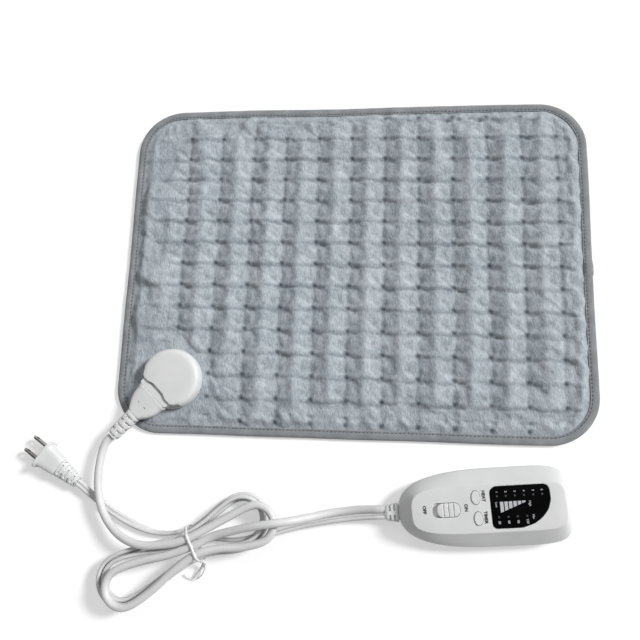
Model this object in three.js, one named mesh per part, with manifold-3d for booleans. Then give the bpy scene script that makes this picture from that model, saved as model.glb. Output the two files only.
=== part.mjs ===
// Heating pad with a hand controller, lying flat with its cords gathered in a tied hank.
// Millimetres, +Z up. The origin is at the pad's centre on its underside.
// The pad is a quilted envelope bound at its edge, with a heating wire inside and a socket in one corner.
// The lead holds a connector, a round pad cord, a controller, a flat mains cord and a plug.

import * as THREE from 'three';
import { mergeVertices } from 'three/addons/utils/BufferGeometryUtils.js';
import Module from 'manifold-3d';

const wasm = await Module();
wasm.setup();

// Clearances and cutters
const gap = 0.3;
const overrun = 1;

// Counts
const cornerSteps = 6;
const roundSteps = 24;
const smallSteps = 12;
const sectionSteps = 20;
const outlineSteps = 40;
const domeSteps = 36;
const ovalSteps = 5;
const edgeSteps = 3;

// Pad
const pad = { length: 400, width: 296, cornerRadius: 40 };
const binding = { leg: 7.5, thickness: 0.8, rounding: 0.7 };
const bottomCover = { thickness: 2, marginThickness: 0.9 };
const felt = { inset: 18.5, thickness: 0.6, socketCutRadius: 23 };
const wire = { radius: 0.8, runs: 12, endInset: 26, socketInset: 82, turnSteps: 5, leadInset: 21 };
const wireSpreadShare = 0.79;
const wireBendShares = { drop: 0.25, rise: 0.17 };
const sleeve = { radius: 1, length: 8 };
const cover = { marginThickness: 0.9, tack: 6.3, crown: 9.6, lip: 4.7, edgeRun: 15, pocketInset: 17.5 };
const tuft = { pitchX: 29.4, pitchY: 19.52, shiftX: -3 };
const betweenTuftsShare = 0.75;
const lipRoomShare = 0.125;
const untuftedShare = 0.9;

// First and last sewn tuft of each column, counted in rows from the pad's middle
const firstColumn = -5;
const tuftColumns = [
  [-4, 6], [-6, 6], [-7, 6], [-7, 6], [-7, 6], [-7, 6], [-7, 7], [-7, 7], [-7, 7], [-7, 7], [-7, 7], [-6, 6],
];

// Socket in the pad's corner; its own +X points along the connector, out over the corner
const socket = {
  insetX: 50.1, insetY: 45.2, baseRadius: 25.2, baseThickness: 2.8, capRadius: 25.5, capHeight: 9.5,
  wall: 1.8, shoulderBack: 8, shoulderFront: 19.8, shoulderHalfWidth: 15.6, capFront: 14.5, notchDepth: 2.1,
  notchHalfWidth: 4.5, notchSlope: 8, spigotRadius: 6.7, frontCorner: 5, frontCornerRun: 7, seatRun: 18,
  seatMargin: 2,
};
const socketAngle = THREE.MathUtils.degToRad(226.2);
const capProfileShares = [
  [0, 1], [0.47, 0.97], [0.7, 0.87], [0.86, 0.68], [0.96, 0.38], [1, 0],
];
const clampPlate = { radius: 15, thickness: 1.2 };
const pin = { radius: 1.1, pitch: 6, back: -1, front: 17, height: 3.1 };
const pinBlock = { back: 3, length: 4.6, halfWidth: 9, halfHeight: 2.6 };
const contact = { wall: 0.5, back: 11, front: 18 };
const insert = { wallSide: 3.8, wallTop: 0.7, back: 10.5 };
const mouth = { clearance: 0.4, backGap: 1.2 };
const socketScrew = { x: -3.5, spacing: 3.4, shankRadius: 1.1, headRadius: 2.2, headHeight: 1.3 };
const thermalFuse = { x: -13, radius: 2, length: 11 };

// Connector: half width at each place along it
const connector = { length: 22.2, halfHeight: 5.5, endHalfHeight: 4.7, halfWidth: 15.2, dimple: 3.9 };
const connectorPlaceShares = [0, 0.11, 0.125, 0.3, 0.49, 0.67, 0.81, 1];
const connectorWidthShares = [1, 1, 0.955, 0.915, 0.86, 0.74, 0.6, 0.42];
const dimple = { radius: 1, depth: 0.8 };
const dimplePlaceShare = 0.54;
const padRelief = { length: 24.4, halfWidth: 6.2, endHalfWidth: 5.3, groove: 0.9, grooveWidth: 1.5, ribs: 5 };

// Along one rib of a strain relief: where the ridge ends, and where the groove's floor starts and ends
const ribShares = { wide: 0.5, floor: 0.6, end: 0.9 };

// How square a superellipse is: 2 is an ellipse
const ovalPower = 2.4;
const softPower = 4;
const squarePower = 8;

// Cords
const padCord = { diameter: 6.5 };
const mainsCord = { width: 6.2, thickness: 3.2 };
const cordSides = 8;
const strandSides = 6;

// Hank: strands lie along its own X, drawn in at the tie in its middle
const hank = {
  x: 29.4, y: -130.8, floor: 0.4, rightCentre: 42, leftCentre: 65, endRadius: 20.4, waist: 11.9, pitch: 3.95,
  layerGap: 0.6, climbReach: 25, liftReach: 34, lift: 1.6, splay: 1.1,
};
const hankAngle = THREE.MathUtils.degToRad(28);
const mainsHalfTurns = 6;
const runSteps = 3;
const arcSteps = 6;
const padLoop = { right: 52, left: 64, radius: 14.5, rightMiddle: -8, leftMiddle: -6, layerGap: 0.45 };
const padWaist = { entry: 5.6, exit: -1.45, back: -8.5, splay: 0.8 };
const tie = {
  width: 3.2, thickness: 0.8, corner: 3.4, tail: 17, twists: 1.5, tailRise: 3, tailThickness: 1.2,
};
const tieSwayShare = 0.35;

// Free stretches of the cords, from what they leave to what they reach
const padLeadPoints = [
  [-53.6, -60.4, 12.5], [-55, -69.5, 12.5], [-55.5, -79.5, 12.4], [-54.9, -89.5, 12.2], [-52.4, -101, 12],
  [-47.9, -111.3, 11.7], [-41.3, -119.8, 12.5], [-32.6, -126.6, 14.8], [-21.4, -131.6, 16.9],
  [-10, -133.6, 17.6], [1.5, -132.8, 17.9],
];
const padTailPoints = [
  [48.4, -123, 19], [60, -119.4, 21], [72.5, -116, 23.4], [84.5, -113.3, 24.9], [95.5, -111.4, 24.6],
  [105.5, -110, 21.2], [115, -108.4, 15.5], [125, -106.4, 9.8], [136, -104, 5.3], [147, -102.2, 3.7],
  [158.5, -100.4, 4.3], [168, -99.6, 6],
];
const mainsLeadPoints = [
  [-64.6, -95.2, 6.8], [-55.9, -101.5, 5.6], [-44.4, -109.5, 4.2], [-31, -116.9, 3.5], [-17.5, -122.2, 3.5],
  [-4.5, -125.2, 3.6],
];
const mainsTailPoints = [
  [55, -136.4, 10.9], [67.5, -134.2, 10.4], [78.6, -129.7, 10.3], [89, -122.9, 9.4], [101.1, -118.7, 6.5],
  [113.9, -115.2, 3.9], [127, -112.3, 3.5], [140, -109.7, 3.5], [153, -107.7, 3.8], [164.5, -106.2, 5.4],
];
const mainsRollShares = [1, 1, 1, 1, 1, 0.8, 0.45, 0.1, 0, 0];

// Controller: a flat face on a sloping body, round at the cord's end
const controller = {
  x: 255.95, y: -93.8, middle: 10, leftReach: 75, rightReach: 54.6, halfWidth: 29.2, faceLeft: 65.2,
  faceRight: 50, faceHalfWidth: 17.6, height: 22, parting: 9, rim: 12, wall: 2, slopeWall: 3.2, footInset: 4,
  footRise: 4,
};
const controllerAngle = THREE.MathUtils.degToRad(5.4);
const basePowers = { left: 2.6, right: 6 };
const facePowers = { left: 4, right: 6 };
const rimRingShares = [[-0.07, 0], [-0.005, 0.012], [0.05, 0.05], [0.93, 0.93], [0.98, 0.99], [1, 1.03]];
const footRingShares = [[0, 1], [0.12, 0.55], [0.45, 0.17], [1, 0]];
const post = { x: 4, spanX: 42, leftY: 14, rightY: 17, radius: 3, bore: 1.4 };
const caseScrew = { shankRadius: 1.1, headRadius: 2.1, headHeight: 1.6, sink: 1.2, grip: 3.4 };
const board = { thickness: 1.6, clearance: 0.8, left: -48 };

// Display window: outline points as shares of its half length and half width, counterclockwise
const lens = { x: 26.5, y: 0.3, halfLength: 22.2, halfWidth: 15.3, thickness: 1.9, drop: 0.1 };
const lensOutlineShares = [
  [0.99, 0.21], [1, 0.45], [0.99, 0.75], [0.94, 0.91], [0.84, 0.98], [0.7, 1], [-0.68, 1], [-0.84, 0.97],
  [-0.95, 0.86], [-1, 0.66], [-1, -0.75], [-0.97, -0.9], [-0.9, -0.98], [-0.8, -1], [-0.1, -1], [0.08, -0.96],
  [0.4, -0.81], [0.67, -0.55], [0.88, -0.2],
];
const mask = { margin: 1, topClearance: 0.3, roof: 1.6 };
const levelStrip = { x: 26.3, y: 9.6, length: 37, width: 4.4, thickness: 0.8, lampHeight: 1.4, lamp: 2.2 };
const timerStrip = { x: 19.8, y: -6.85, length: 24, width: 4.4, thickness: 0.8, lampHeight: 1.4, lamp: 2.2 };
const levelLamps = 6;
const timerLamps = 4;
const lampHole = { radius: 0.9 };

// Buttons and slide switch
const button = {
  width: 6.4, length: 10, rise: 0.7, lipX: 1.3, lipThickness: 1.2, lipDrop: 0.3, clearance: 0.35,
};
const heatPlace = { x: -6.6, y: 8.3 };
const timerPlace = { x: -5.9, y: -7.2 };
const tact = { side: 6, height: 3.5, boreClearance: 0.35, boreDepth: 1.8 };
const plunger = { radius: 1.7, height: 1.2 };
const knob = {
  x: -27.65, y: 0.2, length: 17.1, width: 10.2, rise: 0.6, corner: 4.2, travel: 3.4, clearance: 0.35,
};
const knobFlange = { length: 26, width: 13.5, thickness: 1.3, drop: 0.4 };
const knobGroove = { width: 1.4, depth: 0.7, pitch: 3.8 };
const knobStem = { length: 3, width: 2.6, reach: 2.2 };
const slideSwitch = { length: 21, width: 7, height: 3.4, clearance: 0.4 };

// Parts under the circuit board
const filmCapacitor = { x: 27, y: -8, length: 18, width: 8, height: 7.8, corner: 0.8 };
const filterCapacitor = { x: 26, y: 9, radius: 3.8, length: 14 };
const triac = { x: -14, y: 12, length: 10, width: 9, height: 4.4, tab: 5, tabHeight: 1.2 };
const fuse = { x: -12, y: -11, radius: 2.5, length: 20, cap: 5, step: 0.25 };
const chip = { x: 2, y: 0, length: 10, width: 7.5, height: 2.3, pinWidth: 0.6, pinReach: 1.2, pins: 6 };
const cordClamp = { setback: 10.5, length: 7, width: 15, height: 8.4, groove: 2.2 };

// Double strain relief at the controller's cord end
const relief = {
  height: 7.4, outer: 10, halfWidth: 7.25, endHalfWidth: 5.6, halfHeight: 4.3, neckHalfWidth: 5.8,
  neckHalfHeight: 3.4, neck: 3.3, headHalfWidth: 7.2, head: 2.6, side: -0.6, roundSide: 2.3, flatSide: -3.6,
  groove: 0.6,
};
const reliefPower = 5;
const reliefPlaceShares = [0, 0.1, 0.2, 0.34, 0.44, 0.58, 0.68, 0.84, 1];
const reliefWidthShares = [0, 0.1, 0.3, 0.36, 0.55, 0.6, 0.78, 0.9, 1];

// Plug
const plug = {
  x: -107.9, y: -65.4, flangeWidth: 24.7, flangeHeight: 15.2, flange: 2.5, length: 19.8, rootHalfWidth: 10.2,
  rootHalfHeight: 6.6, endHalfWidth: 7.8, endHalfHeight: 5.6, power: 5,
};
const plugAngle = THREE.MathUtils.degToRad(-34);
const plugRelief = { length: 19.6, endHalfWidth: 4.9, endHalfHeight: 3.2, ribs: 6, groove: 1.2 };
const blade = {
  width: 6.35, thickness: 1.5, spacing: 12.7, reach: 16, root: 5, holeRadius: 1.6, holeInset: 4,
};

// Materials
const look = (color, roughness, metalness = 0) =>
  new THREE.MeshStandardMaterial({ color, roughness, metalness });
const plush = look(0xa8b2bc, 1);
const tape = look(0x8d9299, 0.95);
const feltLook = look(0xe4e0d6, 1);
const wireLook = look(0xd9d4c8, 0.6);
const shellLook = look(0xdedede, 0.45);
const cordLook = look(0xe1e1df, 0.5);
const darkLook = look(0x14161a, 0.12);
const metal = look(0x8f9296, 0.35, 1);
const steel = look(0xb4b6b8, 0.4, 1);
const boardLook = look(0x2f6b45, 0.6);
const blackLook = look(0x202124, 0.6);
const capLook = look(0x9a7a2a, 0.5);
const glassLook = look(0xd8e4e8, 0.1);
const lampLook = look(0xd8903a, 0.4);

// Turns a list of coordinates and triangles into a geometry.
function meshOf(coordinates, triangles) {
  const geometry = new THREE.BufferGeometry();
  geometry.setAttribute('position', new THREE.Float32BufferAttribute(coordinates, 3));
  geometry.setIndex(triangles);
  geometry.computeVertexNormals();
  return geometry;
}

function toSolid(geometry) {
  const bare = geometry.clone();
  bare.deleteAttribute('normal');
  bare.deleteAttribute('uv');
  const merged = mergeVertices(bare);
  const vertProperties = merged.attributes.position.array;
  const triVerts = new Uint32Array(merged.index.array);
  return new wasm.Manifold(new wasm.Mesh({ numProp: 3, vertProperties, triVerts }));
}

function toGeometry(solid) {
  const mesh = solid.getMesh();
  return meshOf(Array.from(mesh.vertProperties), Array.from(mesh.triVerts));
}

const join = (...geometries) => toGeometry(geometries.map(toSolid).reduce((sum, next) => sum.add(next)));
const cut = (base, ...tools) =>
  toGeometry(tools.map(toSolid).reduce((rest, tool) => rest.subtract(tool), toSolid(base)));
const common = (base, other) => toGeometry(toSolid(base).intersect(toSolid(other)));

const ease = share => (1 - Math.cos(Math.PI * THREE.MathUtils.clamp(share, 0, 1))) / 2;
const mix = (from, to, share) => from + (to - from) * share;

// Skins a row of rings that all turn counterclockwise seen from the last one; a looped row closes on itself.
function loft(rings, looped = false) {
  const count = rings[0].length;
  const triangles = [];
  const bands = looped ? rings.length : rings.length - 1;
  for (let k = 0; k < bands; k++) {
    const next = (k + 1) % rings.length;
    for (let i = 0; i < count; i++) {
      const j = (i + 1) % count;
      const near = [k * count + i, k * count + j];
      const far = [next * count + j, next * count + i];
      triangles.push(near[0], near[1], far[0], near[0], far[0], far[1]);
    }
  }
  const last = (rings.length - 1) * count;
  for (let i = 1; i < count - 1 && !looped; i++) {
    triangles.push(0, i + 1, i);
    triangles.push(last, last + i, last + i + 1);
  }
  return meshOf(rings.flat().flatMap(point => point.toArray()), triangles);
}

const box = (x0, x1, y0, y1, z0, z1) =>
  new THREE.BoxGeometry(x1 - x0, y1 - y0, z1 - z0).translate((x0 + x1) / 2, (y0 + y1) / 2, (z0 + z1) / 2);

function column(x, y, radius, z0, z1, steps = roundSteps) {
  const geometry = new THREE.CylinderGeometry(radius, radius, z1 - z0, steps);
  return geometry.rotateX(Math.PI / 2).translate(x, y, (z0 + z1) / 2);
}

// A rod along X
function rod(y, z, radius, x0, x1, steps = smallSteps) {
  const geometry = new THREE.CylinderGeometry(radius, radius, x1 - x0, steps);
  return geometry.rotateZ(Math.PI / 2).translate((x0 + x1) / 2, y, z);
}

function prism(shape, z0, z1, curveSegments = cornerSteps) {
  const geometry = new THREE.ExtrudeGeometry(shape, { depth: z1 - z0, bevelEnabled: false, curveSegments });
  return geometry.translate(0, 0, z0);
}

function roundedShape(x, y, length, width, corner) {
  const [left, right, low, high] = [x - length / 2, x + length / 2, y - width / 2, y + width / 2];
  const shape = new THREE.Shape();
  shape.absarc(right - corner, low + corner, corner, -Math.PI / 2, 0);
  shape.absarc(right - corner, high - corner, corner, 0, Math.PI / 2);
  shape.absarc(left + corner, high - corner, corner, Math.PI / 2, Math.PI);
  shape.absarc(left + corner, low + corner, corner, Math.PI, Math.PI * 1.5);
  return shape;
}

// A button's oval, grown by a margin
function buttonShape(x, y, margin) {
  const [halfWidth, halfLength] = [button.width / 2 + margin, button.length / 2 + margin];
  return new THREE.Shape().absellipse(x, y, halfWidth, halfLength, 0, Math.PI * 2);
}

// A ring across X: a superellipse, square at high powers
function sectionRing(x, y, z, halfWidth, halfHeight, power, count = sectionSteps) {
  const ring = [];
  for (let i = 0; i < count; i++) {
    const angle = (i + 0.5) * 2 * Math.PI / count;
    const across = Math.sign(Math.cos(angle)) * Math.abs(Math.cos(angle)) ** (2 / power);
    const up = Math.sign(Math.sin(angle)) * Math.abs(Math.sin(angle)) ** (2 / power);
    ring.push(new THREE.Vector3(x, y + halfWidth * across, z + halfHeight * up));
  }
  return ring;
}

const piece = (name, geometry, material) => {
  const mesh = new THREE.Mesh(geometry, material);
  mesh.name = name;
  return mesh;
};

// Heights of the pad's layers
const bottomTop = bottomCover.thickness;
const feltBottom = bottomTop + gap;
const feltTop = feltBottom + felt.thickness;
const wireHeight = feltTop + gap + sleeve.radius;
const pocketTop = wireHeight + sleeve.radius + gap;
const coverBottom = bottomTop + gap;
const coverMarginTop = coverBottom + cover.marginThickness;
const bindingTop = coverMarginTop + gap + binding.thickness;
const socketX = socket.insetX - pad.length / 2;
const socketY = socket.insetY - pad.width / 2;

function padRing(inset, z) {
  const radius = pad.cornerRadius - inset;
  const ring = [];
  for (let corner = 0; corner < 4; corner++) {
    const centreX = (corner === 0 || corner === 3 ? 1 : -1) * (pad.length / 2 - pad.cornerRadius);
    const centreY = (corner < 2 ? 1 : -1) * (pad.width / 2 - pad.cornerRadius);
    for (let i = 0; i <= cornerSteps; i++) {
      const angle = (corner + i / cornerSteps) * Math.PI / 2;
      ring.push(new THREE.Vector3(centreX + radius * Math.cos(angle), centreY + radius * Math.sin(angle), z));
    }
  }
  return ring;
}

const padPrism = (inset, z0, z1) => loft([padRing(inset, z0), padRing(inset, z1)]);

function padInset(x, y) {
  const overX = Math.abs(x) - pad.length / 2 + pad.cornerRadius;
  const overY = Math.abs(y) - pad.width / 2 + pad.cornerRadius;
  const outside = Math.hypot(Math.max(overX, 0), Math.max(overY, 0));
  return pad.cornerRadius - outside - Math.min(Math.max(overX, overY), 0);
}

function makeBinding() {
  const { leg, thickness, rounding } = binding;
  const section = [
    [0, rounding], [0, bindingTop - rounding], [rounding, bindingTop],
    [leg, bindingTop], [leg, bindingTop - thickness], [thickness, bindingTop - thickness],
    [thickness, thickness], [leg, thickness], [leg, 0], [rounding, 0],
  ];
  return loft(section.map(([inset, z]) => padRing(inset, z)), true);
}

function makeBottomCover() {
  const marginBottom = binding.thickness + gap;
  const margin = padPrism(binding.thickness + gap, marginBottom, marginBottom + bottomCover.marginThickness);
  return join(margin, padPrism(binding.leg + gap, 0, bottomTop));
}

function hasTuft(columnIndex, rowIndex) {
  const rows = tuftColumns[columnIndex - firstColumn];
  return rows !== undefined && rowIndex >= rows[0] && rowIndex <= rows[1];
}

// How far a place is from the straight strip that runs from the socket out over the corner
function seatDistance(x, y) {
  const alongX = Math.cos(socketAngle);
  const alongY = Math.sin(socketAngle);
  const along = Math.max(0, (x - socketX) * alongX + (y - socketY) * alongY);
  return Math.hypot(x - socketX - alongX * along, y - socketY - alongY * along);
}

function quiltHeight(x, y, columnSteps, rowSteps) {
  const onColumn = columnSteps % 2 === 0;
  const onRow = rowSteps % 2 === 0;
  const sewn = onColumn && onRow && hasTuft(columnSteps / 2, rowSteps / 2);
  const betweenShare = onColumn || onRow ? betweenTuftsShare : 1;
  const riseShare = sewn ? 0 : (onColumn && onRow ? untuftedShare : betweenShare);
  const quilt = mix(cover.tack, cover.crown, riseShare);
  const edged = mix(cover.lip, quilt, ease((padInset(x, y) - binding.leg) / cover.edgeRun));
  const seatShare = ease((seatDistance(x, y) - socket.capRadius - socket.seatMargin) / socket.seatRun);
  return mix(Math.min(edged, cover.tack), edged, seatShare);
}

// Grid lines at half the tufts' pitch, closed by one line at the binding's lip at each end
function gridLines(pitch, shift, span) {
  const lines = [];
  const reach = span / 2 - binding.leg - gap;
  const inner = reach - pitch * lipRoomShare;
  for (let k = Math.ceil((-inner - shift) * 2 / pitch); shift + k * pitch / 2 < inner; k++) {
    lines.push({ place: shift + k * pitch / 2, steps: k });
  }
  const [first, last] = [lines[0].steps - 1, lines[lines.length - 1].steps + 1];
  return [{ place: -reach, steps: first }, ...lines, { place: reach, steps: last }];
}

function makeQuilt() {
  const columns = gridLines(tuft.pitchX, tuft.shiftX, pad.length);
  const rows = gridLines(tuft.pitchY, 0, pad.width);
  const points = [];
  for (const row of rows) {
    for (const line of columns) {
      points.push(line.place, row.place, quiltHeight(line.place, row.place, line.steps, row.steps));
    }
  }
  const [across, up] = [columns.length, rows.length];
  const triangles = [];
  for (let r = 0; r < up - 1; r++) {
    for (let c = 0; c < across - 1; c++) {
      const corner = r * across + c;
      triangles.push(corner, corner + 1, corner + across + 1, corner, corner + across + 1, corner + across);
    }
  }
  const rim = [];
  for (let c = 0; c < across - 1; c++) rim.push(c);
  for (let r = 0; r < up - 1; r++) rim.push(r * across + across - 1);
  for (let c = across - 1; c > 0; c--) rim.push((up - 1) * across + c);
  for (let r = up - 1; r > 0; r--) rim.push(r * across);
  const low = across * up;
  for (const index of rim) points.push(points[index * 3], points[index * 3 + 1], coverBottom);
  points.push(0, 0, coverBottom);
  rim.forEach((index, i) => {
    const next = (i + 1) % rim.length;
    triangles.push(low + i, low + next, rim[next], low + i, rim[next], index);
    triangles.push(low + rim.length, low + next, low + i);
  });
  return meshOf(points, triangles);
}

function makeTopCover() {
  const room = padPrism(binding.leg + gap, coverBottom - overrun, cover.crown + overrun);
  const quilt = common(makeQuilt(), room);
  const margin = padPrism(binding.thickness + gap, coverBottom, coverMarginTop);
  const pocket = padPrism(cover.pocketInset, coverBottom - overrun, pocketTop);
  const hole = column(socketX, socketY, socket.spigotRadius + gap, 0, cover.crown, smallSteps);
  return cut(join(quilt, margin), pocket, hole);
}

function makeFelt() {
  const sheet = padPrism(felt.inset, feltBottom, feltTop);
  return cut(sheet, column(socketX, socketY, felt.socketCutRadius, 0, cover.crown));
}

// A curve through fixed points with a fixed idea of up, so that a section keeps its stance along it.
class Route extends THREE.Curve {
  constructor(points, roll = []) {
    super();
    this.points = points;
    this.roll = roll;
  }

  getPoint(share) {
    const place = share * (this.points.length - 1);
    const index = Math.min(Math.floor(place), this.points.length - 2);
    return this.points[index].clone().lerp(this.points[index + 1], place - index);
  }

  getSpacedPoints() {
    return this.points.map(point => point.clone());
  }

  frame(index) {
    const before = this.points[Math.max(index - 1, 0)];
    const after = this.points[Math.min(index + 1, this.points.length - 1)];
    const tangent = after.clone().sub(before).normalize();
    const side = new THREE.Vector3(0, 0, 1).cross(tangent).normalize();
    side.applyAxisAngle(tangent, this.roll[index] ?? 0);
    return { tangent, side, up: tangent.clone().cross(side) };
  }

  computeFrenetFrames() {
    const frames = this.points.map((point, index) => this.frame(index));
    return {
      tangents: frames.map(frame => frame.tangent),
      normals: frames.map(frame => frame.side),
      binormals: frames.map(frame => frame.up),
    };
  }
}

function tube(section, route) {
  const steps = route.points.length - 1;
  return new THREE.ExtrudeGeometry(section, { steps, extrudePath: route, bevelEnabled: false });
}

// A section whose corners touch the cord's width and height
function cordSection(width, height, sides) {
  const points = [];
  const first = sides === strandSides ? Math.PI / 2 : Math.PI / sides;
  for (let i = 0; i < sides; i++) {
    const angle = first + i * 2 * Math.PI / sides;
    points.push(new THREE.Vector2(Math.cos(angle), Math.sin(angle)));
  }
  const [wide, high] = [Math.max(...points.map(p => p.x)), Math.max(...points.map(p => p.y))];
  return new THREE.Shape(points.map(p => new THREE.Vector2(p.x * width / 2 / wide, p.y * height / 2 / high)));
}

function makeHeatingWire() {
  const rise = pad.width / wire.runs * wireSpreadShare;
  const lowest = -rise * (wire.runs - 1) / 2;
  const right = pad.length / 2 - wire.endInset - rise / 2;
  const points = [new THREE.Vector3(sleeveEnd().x, sleeveEnd().y, wireHeight)];
  for (let run = 0; run < wire.runs - 1; run++) {
    const rightward = run % 2 === 0;
    const y = lowest + run * rise;
    const left = y < socketY + socket.capRadius ? wire.socketInset - pad.length / 2 : -right;
    const turnX = rightward ? right : left;
    for (let i = 0; i <= wire.turnSteps; i++) {
      const angle = Math.PI * i / wire.turnSteps;
      const bulge = Math.sin(angle) * rise / 2 * (rightward ? 1 : -1);
      points.push(new THREE.Vector3(turnX + bulge, y + rise / 2 * (1 - Math.cos(angle)), wireHeight));
    }
  }
  return finishWire(points, -lowest);
}

// The last run turns down the pad's left margin and comes to the second sleeve.
function finishWire(points, topY) {
  const edge = wire.leadInset - pad.length / 2;
  const left = -(pad.length / 2 - wire.endInset);
  points.push(new THREE.Vector3(left + wire.leadInset, topY, wireHeight));
  points.push(new THREE.Vector3(left, topY - wire.leadInset * wireBendShares.drop, wireHeight));
  points.push(new THREE.Vector3(edge, topY - wire.leadInset, wireHeight));
  const end = sleeveEnd(-1);
  points.push(new THREE.Vector3(edge, end.y + wire.leadInset, wireHeight));
  points.push(new THREE.Vector3(edge, end.y + wire.leadInset * wireBendShares.rise, wireHeight));
  points.push(new THREE.Vector3(end.x - wire.radius * 2, end.y, wireHeight));
  points.push(new THREE.Vector3(end.x, end.y, wireHeight));
  const tidy = points.filter((point, i) => i === 0 || point.distanceTo(points[i - 1]) > gap);
  return tube(cordSection(wire.radius * 2, wire.radius * 2, strandSides), new Route(tidy));
}

// Where the heating wire meets a sleeve, to the right (1) or to the left (-1) of the clamp plate
function sleeveEnd(side = 1) {
  const reach = clampPlate.radius + gap + sleeve.length + gap;
  return { x: socketX + side * reach, y: socketY };
}

function makeSleeve(side) {
  const near = socketX + side * (clampPlate.radius + gap);
  const far = near + side * sleeve.length;
  return rod(socketY, wireHeight, sleeve.radius, Math.min(near, far), Math.max(near, far));
}

// Heights at the socket
const socketFloor = cover.tack + gap;
const socketBaseTop = socketFloor + socket.baseThickness;
const capBottom = socketBaseTop + gap;
const pinHeight = socketBaseTop + pin.height;
const contactRadius = pin.radius + gap + contact.wall;
const insertBore = contactRadius + gap;
const insertHalfWidth = pin.pitch + insertBore + insert.wallSide;
const insertHalfHeight = insertBore + insert.wallTop;
const connectorBack = socket.shoulderFront + gap;
const connectorFront = connectorBack + connector.length;

function capDome(shrink, grow) {
  const height = socket.capHeight - shrink;
  const points = capProfileShares.map(([radiusShare, heightShare]) =>
    new THREE.Vector2((socket.capRadius - shrink) * radiusShare, height * heightShare));
  points.push(new THREE.Vector2(socket.capRadius - shrink, -grow));
  points.push(new THREE.Vector2(0, -grow));
  return new THREE.LatheGeometry(points.reverse(), domeSteps).rotateX(Math.PI / 2).translate(0, 0, capBottom);
}

// The cap's outline seen from above: a disc with a front edge that has a shallow notch in its middle
function capOutline() {
  const { capFront, notchDepth, notchHalfWidth, notchSlope, frontCorner, frontCornerRun, capRadius } = socket;
  const side = Math.sqrt(capRadius ** 2 - capFront ** 2) - frontCorner;
  const shape = new THREE.Shape();
  shape.moveTo(capFront, notchHalfWidth + notchSlope);
  shape.lineTo(capFront, side);
  shape.quadraticCurveTo(capFront, side + frontCorner, capFront - frontCorner, side + frontCornerRun);
  shape.lineTo(0, capRadius + overrun);
  shape.lineTo(-capRadius - overrun, capRadius + overrun);
  shape.lineTo(-capRadius - overrun, -capRadius - overrun);
  shape.lineTo(0, -capRadius - overrun);
  shape.lineTo(capFront - frontCorner, -side - frontCornerRun);
  shape.quadraticCurveTo(capFront, -side - frontCorner, capFront, -side);
  shape.lineTo(capFront, -notchHalfWidth - notchSlope);
  const [half, deep] = [notchHalfWidth, capFront - notchDepth];
  const bend = half + notchSlope / 2;
  shape.bezierCurveTo(capFront, -bend, deep, -bend, deep, -half);
  shape.lineTo(deep, half);
  shape.bezierCurveTo(deep, bend, capFront, bend, capFront, half + notchSlope);
  return shape;
}

function makeSocketCap() {
  const dome = cut(capDome(0, 0), capDome(socket.wall, overrun));
  return common(dome, prism(capOutline(), 0, capBottom + socket.capHeight + overrun));
}

function makeSocketBase() {
  const { shoulderBack, shoulderFront, shoulderHalfWidth, capFront, wall, capHeight, capRadius } = socket;
  const top = capBottom + capHeight - wall - gap;
  const half = shoulderHalfWidth;
  const inner = common(
    box(shoulderBack, capFront + gap, -half, half, socketFloor, top),
    capDome(wall + gap, socket.baseThickness + gap + overrun),
  );
  const outerShape = roundedShape(0, 0, 2 * shoulderFront, 2 * half, wall);
  const front = box(capFront + gap, shoulderFront, -half, half, 0, top);
  const outer = common(prism(outerShape, socketFloor, top), front);
  const round = column(0, 0, socket.baseRadius, socketFloor, socketBaseTop, domeSteps);
  const disc = common(round, box(-capRadius, shoulderFront, -capRadius, capRadius, 0, top));
  const spigot = column(0, 0, socket.spigotRadius, pocketTop, socketBaseTop);
  const cavityBack = insert.back - mouth.backGap;
  const mouthHalf = insertHalfWidth + mouth.clearance;
  const mouthHigh = insertHalfHeight + mouth.clearance;
  const cavity = box(
    cavityBack, shoulderFront + overrun, -mouthHalf, mouthHalf, pinHeight - mouthHigh, pinHeight + mouthHigh,
  );
  const seatHalf = pinBlock.halfWidth + gap;
  const seatTop = pinHeight + pinBlock.halfHeight + gap;
  const seat = box(pinBlock.back - gap, cavityBack + overrun, -seatHalf, seatHalf, socketBaseTop, seatTop);
  const bores = screwBores(capBottom);
  return cut(join(disc, inner, outer, spigot), cavity, seat, ...bores);
}

function screwBores(top) {
  const { x, spacing, shankRadius } = socketScrew;
  return [1, -1].map(side => column(x, side * spacing, shankRadius + gap, 0, top, smallSteps));
}

function makeClampPlate() {
  const plateTop = pocketTop - gap;
  const plate = column(0, 0, clampPlate.radius, plateTop - clampPlate.thickness, plateTop);
  return cut(plate, ...screwBores(cover.crown));
}

function makeSocketScrew(side) {
  const { x, spacing, shankRadius, headRadius, headHeight } = socketScrew;
  const y = side * spacing;
  const end = pocketTop - gap - clampPlate.thickness;
  const head = column(x, y, headRadius, capBottom, capBottom + headHeight, smallSteps);
  return join(head, column(x, y, shankRadius, end, capBottom + headHeight, smallSteps));
}

function makePinBlock() {
  const { back, length, halfWidth, halfHeight } = pinBlock;
  const [low, high] = [pinHeight - halfHeight, pinHeight + halfHeight];
  const block = box(back, back + length, -halfWidth, halfWidth, low, high);
  const bores = [-1, 0, 1].map(k => rod(k * pin.pitch, pinHeight, pin.radius + gap, pin.back, pin.front));
  return cut(block, ...bores);
}

const makePin = k => rod(k * pin.pitch, pinHeight, pin.radius, pin.back, pin.front);

function makeThermalFuse() {
  const { x, radius, length } = thermalFuse;
  const geometry = new THREE.CylinderGeometry(radius, radius, length, smallSteps);
  return geometry.translate(x, 0, capBottom + radius);
}

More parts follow.
